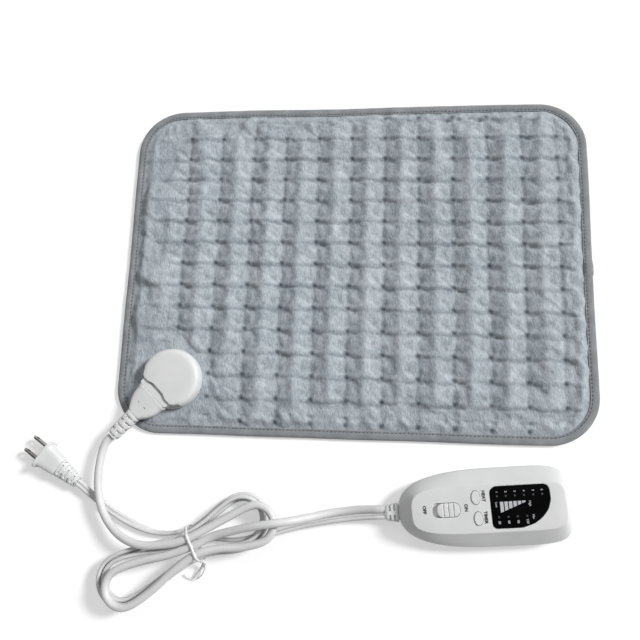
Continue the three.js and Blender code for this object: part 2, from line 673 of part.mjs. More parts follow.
function makeInsert() {
  const { back } = insert;
  const block = loft([back, socket.shoulderFront].map(x =>
    sectionRing(x, 0, pinHeight, insertHalfWidth, insertHalfHeight, squarePower)));
  const depth = contact.front + gap;
  return cut(block, ...[-1, 0, 1].map(k => rod(k * pin.pitch, pinHeight, insertBore, back - overrun, depth)));
}

function makeContact(k) {
  const shell = rod(k * pin.pitch, pinHeight, contactRadius, contact.back, contact.front);
  return cut(shell, rod(k * pin.pitch, pinHeight, pin.radius + gap, contact.back - overrun, pin.front + gap));
}

function makeConnector() {
  const rings = connectorPlaceShares.map((placeShare, i) => {
    const halfWidth = connector.halfWidth * connectorWidthShares[i];
    const halfHeight = mix(connector.halfHeight, connector.endHalfHeight, placeShare);
    const place = connectorBack + connector.length * placeShare;
    return sectionRing(place, 0, pinHeight, halfWidth, halfHeight, softPower);
  });
  const x = connectorBack + connector.length * dimplePlaceShare;
  const top = pinHeight + mix(connector.halfHeight, connector.endHalfHeight, dimplePlaceShare);
  const dents = [1, -1].map(side =>
    column(x, side * connector.dimple, dimple.radius, top - dimple.depth, top + overrun, smallSteps));
  return cut(loft(rings), ...dents);
}

// A tapered sleeve with rings cut into it, along X
function ribbedSleeve(start, length, z, from, to, ribs, groove) {
  const rings = [];
  const { wide: ridge, floor, end } = ribShares;
  for (let i = 0; i < ribs; i++) {
    for (const [placeShare, depth] of [[0, 0], [ridge, 0], [floor, groove], [end, groove]]) {
      const along = (i + placeShare) / ribs;
      const wide = mix(from.halfWidth, to.halfWidth, along) - depth;
      const high = mix(from.halfHeight, to.halfHeight, along) - depth;
      rings.push(sectionRing(start + length * along, 0, z, wide, high, ovalPower, smallSteps));
    }
  }
  rings.push(sectionRing(start + length, 0, z, to.halfWidth, to.halfHeight, ovalPower, smallSteps));
  return loft(rings);
}

function makePadRelief() {
  const from = { halfWidth: padRelief.halfWidth, halfHeight: connector.endHalfHeight };
  const to = { halfWidth: padRelief.endHalfWidth, halfHeight: connector.endHalfHeight };
  const { length, ribs, groove } = padRelief;
  return ribbedSleeve(connectorFront + gap, length, pinHeight, from, to, ribs, groove);
}

// Hank: each waist pass and each end of the flat cord, counted from the entry
const layerLow = hank.floor + mainsCord.width / 2;
const layerHigh = layerLow + mainsCord.width + hank.layerGap;
const padLayer = layerHigh + mainsCord.width / 2 + padLoop.layerGap + padCord.diameter / 2;
const liftAt = along => hank.lift * (1 - ease(Math.abs(along) / hank.liftReach));

function fromHank(along, across, z) {
  const point = new THREE.Vector3(along, across, z + liftAt(along));
  point.applyAxisAngle(new THREE.Vector3(0, 0, 1), hankAngle);
  return point.add(new THREE.Vector3(hank.x, hank.y, 0));
}

// Half a turn: out along a run, round an end, and back to the waist
function halfTurn(turn) {
  const { side, centre, middle, radius, entry, enterSign, exit } = turn;
  const places = [];
  const bow = (waist, edge, share) => mix(waist, edge, ease(share));
  for (let i = 0; i < runSteps; i++) {
    places.push([side * centre * i / runSteps, bow(entry, middle + enterSign * radius, i / runSteps)]);
  }
  for (let i = 0; i <= arcSteps; i++) {
    const angle = Math.PI / 2 - Math.PI * i / arcSteps;
    places.push([side * (centre + radius * Math.cos(angle)), middle + enterSign * radius * Math.sin(angle)]);
  }
  for (let i = runSteps - 1; i > 0; i--) {
    places.push([side * centre * i / runSteps, bow(exit, middle - enterSign * radius, i / runSteps)]);
  }
  return places;
}

function mainsWaist(pass) {
  const middle = mainsHalfTurns / 2;
  if (pass === middle) return 0;
  const depth = Math.min(pass, mainsHalfTurns - pass) / 2;
  const odd = pass % 2 === 1;
  const sign = (pass < middle) === odd ? -1 : 1;
  return sign * (hank.waist - hank.pitch * depth);
}

// The flat cord stands on edge and winds in to the middle on the floor, then out again one layer up.
function mainsStrand() {
  const middle = mainsHalfTurns / 2;
  const places = [[-mainsCord.width, mainsWaist(0) + hank.splay, layerLow]];
  for (let k = 0; k < mainsHalfTurns; k++) {
    const side = k % 2 === 0 ? 1 : -1;
    const enterSign = k < middle ? side : -side;
    const depth = Math.min(k + 0.5, mainsHalfTurns - 0.5 - k) / 2;
    const turn = { side, centre: side > 0 ? hank.rightCentre : hank.leftCentre, middle: 0, enterSign };
    turn.radius = hank.endRadius - hank.pitch * depth;
    turn.entry = mainsWaist(k);
    turn.exit = mainsWaist(k + 1);
    halfTurn(turn).forEach(([along, across], i) => {
      const returning = i > runSteps + arcSteps / 2;
      const share = ease((hank.climbReach - along) / (2 * hank.climbReach));
      const climbs = (k === middle - 1 && returning) || (k === middle && !returning);
      const level = k < middle ? layerLow : layerHigh;
      places.push([along, across, climbs ? mix(layerLow, layerHigh, share) : level]);
    });
  }
  const exit = mainsWaist(mainsHalfTurns);
  places.push([0, exit, layerHigh], [mainsCord.width, exit - hank.splay, layerHigh]);
  return places.map(place => fromHank(...place));
}

// The round cord makes one turn on top of the flat one.
function padStrand() {
  const { right, left, radius, rightMiddle, leftMiddle } = padLoop;
  const { entry, exit, back, splay } = padWaist;
  const out = { side: 1, centre: right, middle: rightMiddle, radius, entry, enterSign: 1, exit: back };
  const home = { side: -1, centre: left, middle: leftMiddle, radius, entry: back, enterSign: -1, exit };
  const places = [[-padCord.diameter, entry + splay], ...halfTurn(out), ...halfTurn(home)];
  places.push([0, exit], [padCord.diameter, exit]);
  return places.map(([along, across]) => fromHank(along, across, padLayer));
}

// Signed distance from a place to a convex section, less than zero inside it
function sectionDistance(corners, x, y) {
  let [inside, nearest] = [true, Infinity];
  corners.forEach((from, i) => {
    const to = corners[(i + 1) % corners.length];
    const [dx, dy] = [to.x - from.x, to.y - from.y];
    if (dx * (y - from.y) - dy * (x - from.x) < 0) inside = false;
    const share = THREE.MathUtils.clamp(((x - from.x) * dx + (y - from.y) * dy) / (dx * dx + dy * dy), 0, 1);
    nearest = Math.min(nearest, Math.hypot(x - from.x - dx * share, y - from.y - dy * share));
  });
  return inside ? -nearest : nearest;
}

// Least gap between points on one tube's skin and another tube, or the same tube more than a few steps away
function leastGap(route, section, other, otherSection, apart) {
  const corners = section.getPoints();
  const otherCorners = otherSection.getPoints();
  const frames = route.points.map((point, i) => ({ point, ...route.frame(i) }));
  const others = other.points.map((point, i) => ({ point, ...other.frame(i) }));
  let least = Infinity;
  for (let i = 0; i < frames.length - 1; i++) {
    for (const share of [0, 0.25, 0.5, 0.75, 1]) {
      for (const corner of corners) {
        const skin = [frames[i], frames[i + 1]].map(frame =>
          frame.point.clone().addScaledVector(frame.side, corner.x).addScaledVector(frame.up, corner.y));
        const place = skin[0].lerp(skin[1], share);
        for (let j = 0; j < others.length - 1; j++) {
          if (route === other && Math.abs(i - j) < apart) continue;
          least = Math.min(least, stepDistance(place, others[j], others[j + 1], otherCorners));
        }
      }
    }
  }
  return least;
}

function stepDistance(place, from, to, corners) {
  const chord = to.point.clone().sub(from.point);
  const share = place.clone().sub(from.point).dot(chord) / chord.lengthSq();
  if (share < 0 || share > 1) return Infinity;
  const off = place.clone().sub(from.point).addScaledVector(chord, -share);
  const side = from.side.clone().lerp(to.side, share).normalize();
  const up = from.up.clone().lerp(to.up, share).normalize();
  return sectionDistance(corners, off.dot(side), off.dot(up));
}

// Heights and places that the cords end at, in the lead's own frame
function alongFrame(frame, angle, along, across, z) {
  const point = new THREE.Vector3(along, across, z).applyAxisAngle(new THREE.Vector3(0, 0, 1), angle);
  return point.add(new THREE.Vector3(frame.x, frame.y, 0));
}

const route3 = points => points.map(([x, y, z]) => new THREE.Vector3(x, y, z));

// A free stretch: straight for one diameter at each end, through the chosen points between
function freeStretch(start, startTo, points, endFrom, end, straight) {
  const first = start.clone().addScaledVector(startTo, gap);
  const last = end.clone().addScaledVector(endFrom, -gap);
  return [
    first, first.clone().addScaledVector(startTo, straight), ...route3(points),
    last.clone().addScaledVector(endFrom, -straight), last,
  ];
}

const heading = angle => new THREE.Vector3(Math.cos(angle), Math.sin(angle), 0);
const toward = (from, to) => to.clone().sub(from).normalize();

function cordRoutes() {
  const [mains, padRun] = [mainsStrand(), padStrand()];
  const home = { x: 0, y: 0 };
  const padExit = alongFrame(home, socketAngle, connectorFront + gap + padRelief.length, 0, pinHeight);
  const plugReach = plug.length + gap + plugRelief.length;
  const plugExit = alongFrame(plug, plugAngle, plugReach, 0, plug.flangeHeight / 2);
  const reliefEnd = controller.middle - controller.leftReach - gap - relief.outer;
  const roundEnd = alongFrame(controller, controllerAngle, reliefEnd, relief.roundSide, relief.height);
  const flatEnd = alongFrame(controller, controllerAngle, reliefEnd, relief.flatSide, relief.height);
  const { diameter } = padCord;
  const { width } = mainsCord;
  const out = heading(controllerAngle);
  const first = list => toward(list[0], list[1]);
  const last = list => toward(list.at(-2), list.at(-1));
  return {
    padLead: freeStretch(padExit, heading(socketAngle), padLeadPoints, first(padRun), padRun[0], diameter),
    padHank: padRun,
    padTail: freeStretch(padRun.at(-1), last(padRun), padTailPoints, out, roundEnd, diameter),
    mainsLead: freeStretch(plugExit, heading(plugAngle), mainsLeadPoints, first(mains), mains[0], width),
    mainsHank: mains,
    mainsTail: freeStretch(mains.at(-1), last(mains), mainsTailPoints, out, flatEnd, width),
  };
}

// The tie: a band round the waist of the hank, with its two ends twisted together
function tieOutline(outset) {
  const low = layerLow + hank.lift - mainsCord.width / 2 - gap - outset;
  const side = hank.waist + mainsCord.thickness / 2 + gap * 2 + outset;
  const shoulder = layerHigh + hank.lift + mainsCord.width / 2 + gap;
  const top = padLayer + hank.lift + padCord.diameter / 2 + gap + outset;
  const topRight = padWaist.entry + padCord.diameter / 2 + gap + outset;
  const topLeft = padWaist.back - padCord.diameter / 2 - gap - outset;
  const { corner } = tie;
  return [
    [side - corner / 2, low], [side, low + corner / 2], [side, shoulder],
    [topRight + gap, top - corner / 2], [topRight - corner / 2, top],
    [topLeft + corner / 2, top], [topLeft - gap, top - corner / 2], [-side, shoulder],
    [-side, low + corner / 2], [-side + corner / 2, low],
  ].map(([across, z]) => new THREE.Vector2(across, z));
}

function makeTie() {
  const shape = new THREE.Shape(tieOutline(tie.thickness));
  shape.holes.push(new THREE.Path(tieOutline(0)));
  const band = new THREE.ExtrudeGeometry(shape, { depth: tie.width, bevelEnabled: false });
  band.rotateX(Math.PI / 2).rotateZ(Math.PI / 2).translate(-tie.width / 2, 0, 0);
  const start = tieOutline(tie.thickness / 2)[7];
  const points = [];
  const roll = [];
  const steps = roundSteps / 2;
  for (let i = 0; i <= steps; i++) {
    const out = tie.tail * i / steps;
    const rise = tie.tailRise * i / steps;
    points.push(new THREE.Vector3(-out * tieSwayShare, start.x - out + gap / 2, start.y - tie.corner + rise));
    roll.push(Math.PI * 2 * tie.twists * i / steps);
  }
  const twist = tube(cordSection(tie.width, tie.tailThickness, strandSides), new Route(points, roll));
  const place = new THREE.Matrix4().makeRotationZ(hankAngle).setPosition(hank.x, hank.y, 0);
  return join(band, twist).applyMatrix4(place);
}

// Controller outlines: 0 at the base and 1 at the face
function controllerRing(share, inset, z) {
  const { middle, leftReach, rightReach, halfWidth, faceLeft, faceRight, faceHalfWidth } = controller;
  const reach = {
    left: mix(leftReach, faceLeft, share) - inset,
    right: mix(rightReach, faceRight, share) - inset,
  };
  const half = mix(halfWidth, faceHalfWidth, share) - inset;
  const ring = [];
  for (let i = 0; i < outlineSteps; i++) {
    const angle = (i + 0.5) * 2 * Math.PI / outlineSteps;
    const end = Math.cos(angle) < 0 ? 'left' : 'right';
    const power = 2 / mix(basePowers[end], facePowers[end], THREE.MathUtils.clamp(share, 0, 1));
    const x = Math.sign(Math.cos(angle)) * Math.abs(Math.cos(angle)) ** power;
    const y = Math.sign(Math.sin(angle)) * Math.abs(Math.sin(angle)) ** power;
    ring.push(new THREE.Vector3(middle + reach[end] * x, half * y, z));
  }
  return ring;
}

const boardTop = controller.rim + board.thickness;
const ceiling = controller.height - controller.wall;
const shellSeam = controller.parting + gap;
const postPlaces = [[-1, -1], [-1, 1], [1, -1], [1, 1]].map(([sideX, sideY]) =>
  [post.x + sideX * post.spanX, sideY * (sideX < 0 ? post.leftY : post.rightY)]);
const reliefX = controller.middle - controller.leftReach;

function reliefCutter() {
  const half = relief.neckHalfWidth + gap;
  const high = relief.neckHalfHeight + gap;
  const middleY = relief.side;
  return box(reliefX - overrun, reliefX + relief.neck + relief.head, middleY - half, middleY + half,
    relief.height - high, relief.height + high);
}

function lensShape(margin) {
  const length = lens.halfLength + margin;
  const width = lens.halfWidth + margin;
  const place = ([x, y]) => new THREE.Vector2(lens.x + length * x, lens.y + width * y);
  const points = lensOutlineShares.map(place);
  return new THREE.Shape(points);
}

function makeTopShell() {
  const { rim, height, wall, slopeWall } = controller;
  const slope = height - rim;
  const rimRings = rimRingShares.map(([heightShare, faceShare]) =>
    controllerRing(faceShare, 0, rim + slope * heightShare));
  const outer = loft([controllerRing(0, 0, shellSeam), ...rimRings]);
  const innerRim = rim - (slopeWall - wall) * slope / (controller.halfWidth - controller.faceHalfWidth);
  const inner = loft([
    controllerRing(0, wall, shellSeam - overrun), controllerRing(0, wall, innerRim),
    controllerRing((ceiling - rim) / slope, slopeWall, ceiling),
  ]);
  const posts = postPlaces.map(([x, y]) =>
    common(column(x, y, post.radius, boardTop + gap, height, smallSteps), outer));
  const bores = postPlaces.map(([x, y]) =>
    column(x, y, post.bore, boardTop, boardTop + gap + caseScrew.grip + gap, smallSteps));
  const slotLength = knob.length + knob.travel + 2 * knob.clearance;
  const slotWidth = knob.width + 2 * knob.clearance;
  const slotCorner = knob.corner + knob.clearance;
  const slotShape = roundedShape(knob.x - knob.travel / 2, knob.y, slotLength, slotWidth, slotCorner);
  const holes = [heatPlace, timerPlace].map(({ x, y }) =>
    prism(buttonShape(x, y, button.clearance), boardTop, height + overrun, ovalSteps));
  const window = prism(lensShape(gap), ceiling - overrun, height + overrun);
  const slot = prism(slotShape, ceiling - overrun, height + overrun, edgeSteps);
  return cut(join(cut(outer, inner), ...posts), ...bores, slot, ...holes, window, reliefCutter());
}

function makeBottomShell() {
  const { footInset, footRise, parting, wall } = controller;
  const outer = loft([
    ...footRingShares.map(([heightShare, insetShare]) =>
      controllerRing(0, footInset * insetShare, footRise * heightShare)),
    controllerRing(0, 0, parting),
  ]);
  const inner = loft([
    controllerRing(0, wall + footInset / 2, wall), controllerRing(0, wall, wall + footRise / 2),
    controllerRing(0, wall, parting + overrun),
  ]);
  const columns = (radius, low, high) =>
    postPlaces.map(([x, y]) => column(x, y, radius, low, high, smallSteps));
  const posts = columns(post.radius, wall / 2, controller.rim - gap);
  const shanks = columns(post.bore, -overrun, controller.rim);
  const wells = columns(caseScrew.headRadius + gap, -overrun, caseScrew.sink + caseScrew.headHeight);
  return cut(join(cut(outer, inner), ...posts), ...shanks, ...wells, reliefCutter());
}

function makeCaseScrew([x, y]) {
  const { sink, headHeight, headRadius, shankRadius, grip } = caseScrew;
  const head = column(x, y, headRadius, sink - gap, sink + headHeight - gap, smallSteps);
  return join(head, column(x, y, shankRadius, sink, boardTop + gap + grip, smallSteps));
}

function makeBoard() {
  const { rim, height, slopeWall } = controller;
  const [share, inset] = [(boardTop - rim) / (height - rim), slopeWall + board.clearance];
  const plate = loft([controllerRing(share, inset, rim), controllerRing(share, inset, boardTop)]);
  const right = controller.middle + controller.rightReach;
  const half = controller.halfWidth;
  const trimmed = common(plate, box(board.left, right, -half, half, 0, height));
  return cut(trimmed, ...postPlaces.map(([x, y]) => column(x, y, post.bore, 0, height, smallSteps)));
}

const makeLens = () => {
  const top = controller.height - lens.drop;
  return prism(lensShape(0), top - lens.thickness, top);
};

function lampPlaces(strip, count) {
  const step = (strip.length - strip.width) / (count - 1);
  return Array.from({ length: count }, (_, i) => [strip.x + (i - (count - 1) / 2) * step, strip.y]);
}

function makeStrip(strip, count) {
  const low = boardTop + gap;
  const shape = roundedShape(strip.x, strip.y, strip.length, strip.width, gap);
  const bar = prism(shape, low, low + strip.thickness, 1);
  const [half, top] = [strip.lamp / 2, low + strip.thickness + strip.lampHeight];
  const places = lampPlaces(strip, count);
  const lamps = places.map(([x, y]) => box(x - half, x + half, y - half, y + half, low, top));
  return join(bar, ...lamps);
}

function makeMask() {
  const low = boardTop + gap;
  const top = controller.height - lens.drop - lens.thickness - mask.topClearance;
  const block = prism(lensShape(mask.margin), low, top);
  const rooms = [levelStrip, timerStrip].map(strip => {
    const shape = roundedShape(strip.x, strip.y, strip.length + 2 * gap, strip.width + 2 * gap, gap);
    return prism(shape, low - overrun, top - mask.roof, 1);
  });
  const holes = [...lampPlaces(levelStrip, levelLamps), ...lampPlaces(timerStrip, timerLamps)].map(([x, y]) =>
    column(x, y, lampHole.radius, top - mask.roof - overrun, top + overrun, cornerSteps));
  return cut(block, ...rooms, ...holes, ...maskPosts());
}

// Room in the mask for the case's posts
const maskPosts = () => postPlaces.map(([x, y]) =>
  column(x, y, post.radius + gap, boardTop, controller.height, smallSteps));

function makeButton({ x, y }) {
  const { rise, lipX, lipThickness, lipDrop } = button;
  const lipTop = ceiling - lipDrop;
  const lip = prism(buttonShape(x, y, lipX), lipTop - lipThickness, lipTop, ovalSteps);
  const top = controller.height + rise;
  const shrink = [[0, lipTop - lipThickness], [0, top - rise], [rise / 2, top - rise / 4], [rise * 2, top]];
  const rings = shrink.map(([inset, z]) => {
    const outline = buttonShape(x, y, -inset).getPoints(ovalSteps).slice(0, -1);
    return outline.map(point => new THREE.Vector3(point.x, point.y, z));
  });
  return join(lip, loft(rings));
}

function makeTact({ x, y }) {
  const { side, height, boreClearance, boreDepth } = tact;
  const low = boardTop + gap;
  const body = prism(roundedShape(x, y, side, side, gap), low, low + height, 1);
  const radius = plunger.radius + boreClearance;
  return cut(body, column(x, y, radius, low + height - boreDepth, low + height + overrun, smallSteps));
}

function makePlunger({ x, y }) {
  const top = ceiling - button.lipDrop - button.lipThickness - gap;
  return column(x, y, plunger.radius, top - plunger.height, top, smallSteps);
}

function makeKnob() {
  const { x, y, length, width, rise, corner } = knob;
  const flangeTop = ceiling - knobFlange.drop;
  const flangeBottom = flangeTop - knobFlange.thickness;
  const top = controller.height + rise;
  const body = prism(roundedShape(x, y, length, width, corner), flangeBottom, top, edgeSteps);
  const flangeShape = roundedShape(x, y, knobFlange.length, knobFlange.width, corner);
  const flange = prism(flangeShape, flangeBottom, flangeTop, 2);
  const [stemX, stemY] = [knobStem.length / 2, knobStem.width / 2];
  const stem = box(x - stemX, x + stemX, y - stemY, y + stemY, flangeBottom - knobStem.reach, flangeTop);
  const grooves = [-1, 0, 1].map(k => {
    const middle = x + k * knobGroove.pitch;
    return box(middle - knobGroove.width / 2, middle + knobGroove.width / 2, y - width, y + width,
      top - knobGroove.depth, top + overrun);
  });
  return cut(join(body, flange, stem), ...grooves);
}

function makeSlideSwitch() {
  const { length, width, height, clearance } = slideSwitch;
  const low = boardTop + gap;
  const middle = knob.x - knob.travel / 2;
  const body = prism(roundedShape(middle, knob.y, length, width, gap), low, low + height, 1);
  const stemBottom = ceiling - knobFlange.drop - knobFlange.thickness - knobStem.reach;
  const slotLength = knobStem.length + knob.travel + 2 * clearance;
  const slotShape = roundedShape(middle, knob.y, slotLength, knobStem.width + 2 * clearance, gap);
  return cut(body, prism(slotShape, stemBottom - clearance, low + height + overrun, 1));
}

const boardBottom = controller.rim - gap;

function makeFilmCapacitor() {
  const { x, y, length, width, height, corner } = filmCapacitor;
  return prism(roundedShape(x, y, length, width, corner), boardBottom - height, boardBottom, 2);
}

function makeFilterCapacitor() {
  const { x, y, radius, length } = filterCapacitor;
  return rod(y, boardBottom - radius, radius, x - length / 2, x + length / 2, smallSteps);
}

function makeTriac() {
  const { x, y, length, width, height, tab, tabHeight } = triac;
  const [back, side] = [x - length / 2, width / 2];
  const body = box(back, x + length / 2, y - side, y + side, boardBottom - height, boardBottom);
  const plate = box(back - tab, x, y - side, y + side, boardBottom - tabHeight, boardBottom);
  return join(body, plate);
}

function makeFuse() {
  const { x, y, radius, length, cap, step } = fuse;
  const z = boardBottom - radius;
  const ends = [-1, 1].map(side => {
    const [inner, outer] = [side * (length / 2 - cap), side * length / 2];
    return rod(y, z, radius, x + Math.min(inner, outer), x + Math.max(inner, outer));
  });
  return join(...ends, rod(y, z, radius - step, x - length / 2 + step, x + length / 2 - step));
}

function makeChip() {
  const { x, y, length, width, height, pinWidth, pinReach, pins } = chip;
  const side = width / 2;
  const body = box(x - length / 2, x + length / 2, y - side, y + side, boardBottom - height, boardBottom);
  const step = length / pins;
  const [reach, low] = [side + pinReach, boardBottom - pinWidth];
  const legs = Array.from({ length: pins }, (_, i) => {
    const left = x + (i - (pins - 1) / 2) * step - pinWidth / 2;
    return box(left, left + pinWidth, y - reach, y + reach, low, boardBottom);
  });
  return join(body, ...legs);
}

function makeCordClamp() {
  const { setback, length, width, height, groove } = cordClamp;
  const x = reliefX + setback;
  const low = controller.wall + gap;
  const block = box(x - length / 2, x + length / 2, -width / 2, width / 2, low, low + height);
  const middleY = [relief.roundSide, relief.flatSide];
  return cut(block, ...middleY.map(y => rod(y, low + height, groove, x - length, x + length)));
}

function makeRelief() {
  const { height, outer, halfHeight, side, neck, head } = relief;
  const outerEnd = reliefX - gap - outer;
  const rings = reliefPlaceShares.map((placeShare, i) => {
    const half = mix(relief.endHalfWidth, relief.halfWidth, reliefWidthShares[i]);
    const high = halfHeight - (i % 4 === 2 ? relief.groove : 0);
    return sectionRing(outerEnd + outer * placeShare, side, height, half, high, reliefPower);
  });
  const neckEnd = reliefX + neck;
  const { neckHalfWidth, neckHalfHeight, headHalfWidth } = relief;
  rings.push(sectionRing(reliefX - gap, side, height, neckHalfWidth, neckHalfHeight, squarePower));
  rings.push(sectionRing(neckEnd, side, height, neckHalfWidth, neckHalfHeight, squarePower));
  rings.push(sectionRing(neckEnd, side, height, headHalfWidth, neckHalfHeight + gap, squarePower));
  rings.push(sectionRing(neckEnd + head, side, height, headHalfWidth, neckHalfHeight + gap, squarePower));
  return loft(rings);
}

const plugHeight = plug.flangeHeight / 2;

function makePlugBody() {
  const { flangeWidth, flangeHeight, flange, length, power } = plug;
  const head = [0, flange].map(x => sectionRing(x, 0, plugHeight, flangeWidth / 2, flangeHeight / 2, power));
  const neck = [0, 0.5, 1].map(share => {
    const halfWidth = mix(plug.rootHalfWidth, plug.endHalfWidth, share);
    const halfHeight = mix(plug.rootHalfHeight, plug.endHalfHeight, share);
    return sectionRing(mix(flange - gap, length, share), 0, plugHeight, halfWidth, halfHeight, softPower);
  });
  const slots = [-1, 1].map(side => bladeBlock(side, gap, -overrun, blade.root + gap));
  return cut(join(loft(head), loft(neck)), ...slots);
}

function bladeBlock(side, margin, from, to) {
  const [y, half, high] = [side * blade.spacing / 2, blade.thickness / 2 + margin, blade.width / 2 + margin];
  return box(from, to, y - half, y + half, plugHeight - high, plugHeight + high);
}

function makeBlade(side) {
  const { reach, root, holeRadius, holeInset, spacing, thickness, width } = blade;
  const bar = bladeBlock(side, 0, -reach, root);
  const hole = new THREE.CylinderGeometry(holeRadius, holeRadius, thickness * 3, smallSteps);
  hole.translate(holeInset - reach, side * spacing / 2, plugHeight);
  const tip = [1, -1].map(up => {
    const half = width / 4;
    const corner = box(-half, half, -thickness, thickness, -half, half).rotateY(Math.PI / 4);
    return corner.translate(-reach, side * spacing / 2, plugHeight + up * width / 2);
  });
  return cut(bar, hole, ...tip);
}

function makePlugRelief() {
  const from = { halfWidth: plug.endHalfWidth, halfHeight: plug.endHalfHeight };
  const to = { halfWidth: plugRelief.endHalfWidth, halfHeight: plugRelief.endHalfHeight };
  const { length, ribs, groove } = plugRelief;
  return ribbedSleeve(plug.length + gap, length, plugHeight, from, to, ribs, groove);
}

// Assembly
function padGroup() {
  const group = new THREE.Group();
  group.add(
    piece('bottom_cover', makeBottomCover(), plush),
    piece('wire_carrier', makeFelt(), feltLook),
    piece('heating_wire', makeHeatingWire(), wireLook),
    piece('crimp_sleeve_right', makeSleeve(1), metal),
    piece('crimp_sleeve_left', makeSleeve(-1), metal),
    piece('top_cover', makeTopCover(), plush),
    piece('edge_binding', makeBinding(), tape),
  );
  return group;
}

function socketGroup() {
  const group = new THREE.Group();
  group.add(
    piece('socket_base', makeSocketBase(), shellLook),
    piece('socket_cap', makeSocketCap(), shellLook),
    piece('socket_clamp_plate', makeClampPlate(), shellLook),
    piece('pin_block', makePinBlock(), blackLook),
    piece('thermal_fuse', makeThermalFuse(), blackLook),
  );
  [1, -1].forEach((side, i) => group.add(piece(`socket_screw_${i + 1}`, makeSocketScrew(side), steel)));
  [-1, 0, 1].forEach((k, i) => group.add(piece(`socket_pin_${i + 1}`, makePin(k), metal)));
  group.position.set(socketX, socketY, 0);
  group.rotation.z = socketAngle;
  return group;
}

function connectorGroup() {
  const group = new THREE.Group();
  group.add(
    piece('connector_body', makeConnector(), shellLook),
    piece('connector_insert', makeInsert(), blackLook),
    piece('connector_strain_relief', makePadRelief(), shellLook),
  );
  [-1, 0, 1].forEach((k, i) => group.add(piece(`connector_contact_${i + 1}`, makeContact(k), metal)));
  group.rotation.z = socketAngle;
  return group;
}

function cordGroup() {
  const group = new THREE.Group();
  const routes = cordRoutes();
  const roll = mainsRollShares.map(share => share * Math.PI / 2);
  const round = cordSection(padCord.diameter, padCord.diameter, cordSides);
  const flat = cordSection(mainsCord.thickness, mainsCord.width, cordSides);
  const roundStrand = cordSection(padCord.diameter, padCord.diameter, strandSides);
  const flatStrand = cordSection(mainsCord.thickness, mainsCord.width, strandSides);
  const hanks = { pad: new Route(routes.padHank), mains: new Route(routes.mainsHank) };
  group.add(
    piece('pad_cord_lead', tube(round, new Route(routes.padLead)), cordLook),
    piece('pad_cord_hank', tube(roundStrand, hanks.pad), cordLook),
    piece('pad_cord_tail', tube(round, new Route(routes.padTail)), cordLook),
    piece('mains_cord_lead', tube(flat, new Route(routes.mainsLead, roll)), cordLook),
    piece('mains_cord_hank', tube(flatStrand, hanks.mains), cordLook),
    piece('mains_cord_tail', tube(flat, new Route(routes.mainsTail)), cordLook),
    piece('twist_tie', makeTie(), shellLook),
  );
  const apart = 3;
  const [mainsHank, padHank] = [[hanks.mains, flatStrand], [hanks.pad, roundStrand]];
  const tell = (words, one, other) => console.log(words, leastGap(...one, ...other, apart).toFixed(3));
  tell('least gap of the mains hank to itself', mainsHank, mainsHank);
  tell('least gap of the pad cord hank to itself', padHank, padHank);
  tell('least gap between the two hanks', padHank, mainsHank);
  return group;
}

function controllerGroup() {
  const group = new THREE.Group();
  group.add(
    piece('controller_top_shell', makeTopShell(), shellLook),
    piece('controller_bottom_shell', makeBottomShell(), shellLook),
    piece('display_window', makeLens(), darkLook),
    piece('light_mask', makeMask(), blackLook),
    piece('level_light_strip', makeStrip(levelStrip, levelLamps), lampLook),
    piece('timer_light_strip', makeStrip(timerStrip, timerLamps), lampLook),
    piece('circuit_board', makeBoard(), boardLook),
    piece('power_knob', makeKnob(), shellLook),
    piece('slide_switch_body', makeSlideSwitch(), blackLook),
    piece('heat_button_cap', makeButton(heatPlace), shellLook),
    piece('heat_plunger', makePlunger(heatPlace), blackLook),
    piece('heat_switch_body', makeTact(heatPlace), metal),
    piece('timer_button_cap', makeButton(timerPlace), shellLook),
    piece('timer_plunger', makePlunger(timerPlace), blackLook),
    piece('timer_switch_body', makeTact(timerPlace), metal),
    piece('film_capacitor', makeFilmCapacitor(), capLook),
    piece('filter_capacitor', makeFilterCapacitor(), blackLook),
    piece('triac', makeTriac(), blackLook),
    piece('fuse', makeFuse(), glassLook),
    piece('control_chip', makeChip(), blackLook),
    piece('cord_clamp', makeCordClamp(), blackLook),
    piece('controller_strain_relief', makeRelief(), shellLook),
  );
  postPlaces.forEach((place, i) => group.add(piece(`case_screw_${i + 1}`, makeCaseScrew(place), steel)));
  group.position.set(controller.x, controller.y, 0);
  group.rotation.z = controllerAngle;
  return group;
}

function plugGroup() {
  const group = new THREE.Group();
  group.add(
    piece('plug_body', makePlugBody(), shellLook),
    piece('plug_strain_relief', makePlugRelief(), shellLook),
    piece('plug_blade_1', makeBlade(-1), metal),
    piece('plug_blade_2', makeBlade(1), metal),
  );
  group.position.set(plug.x, plug.y, 0);
  group.rotation.z = plugAngle;
  return group;
}

const lead = new THREE.Group();
lead.add(connectorGroup(), cordGroup(), controllerGroup(), plugGroup());
lead.position.set(socketX, socketY, 0);

const heatingPad = new THREE.Group();
heatingPad.add(padGroup(), socketGroup(), lead);

export default heatingPad;
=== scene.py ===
# The looks of a heating pad with a hand controller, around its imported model.
# Sizes are in millimetres until a mesh is made, and MM turns them into metres.
import math
import random

import bmesh
import bpy
import numpy as np
from mathutils import Matrix, Vector, geometry, noise


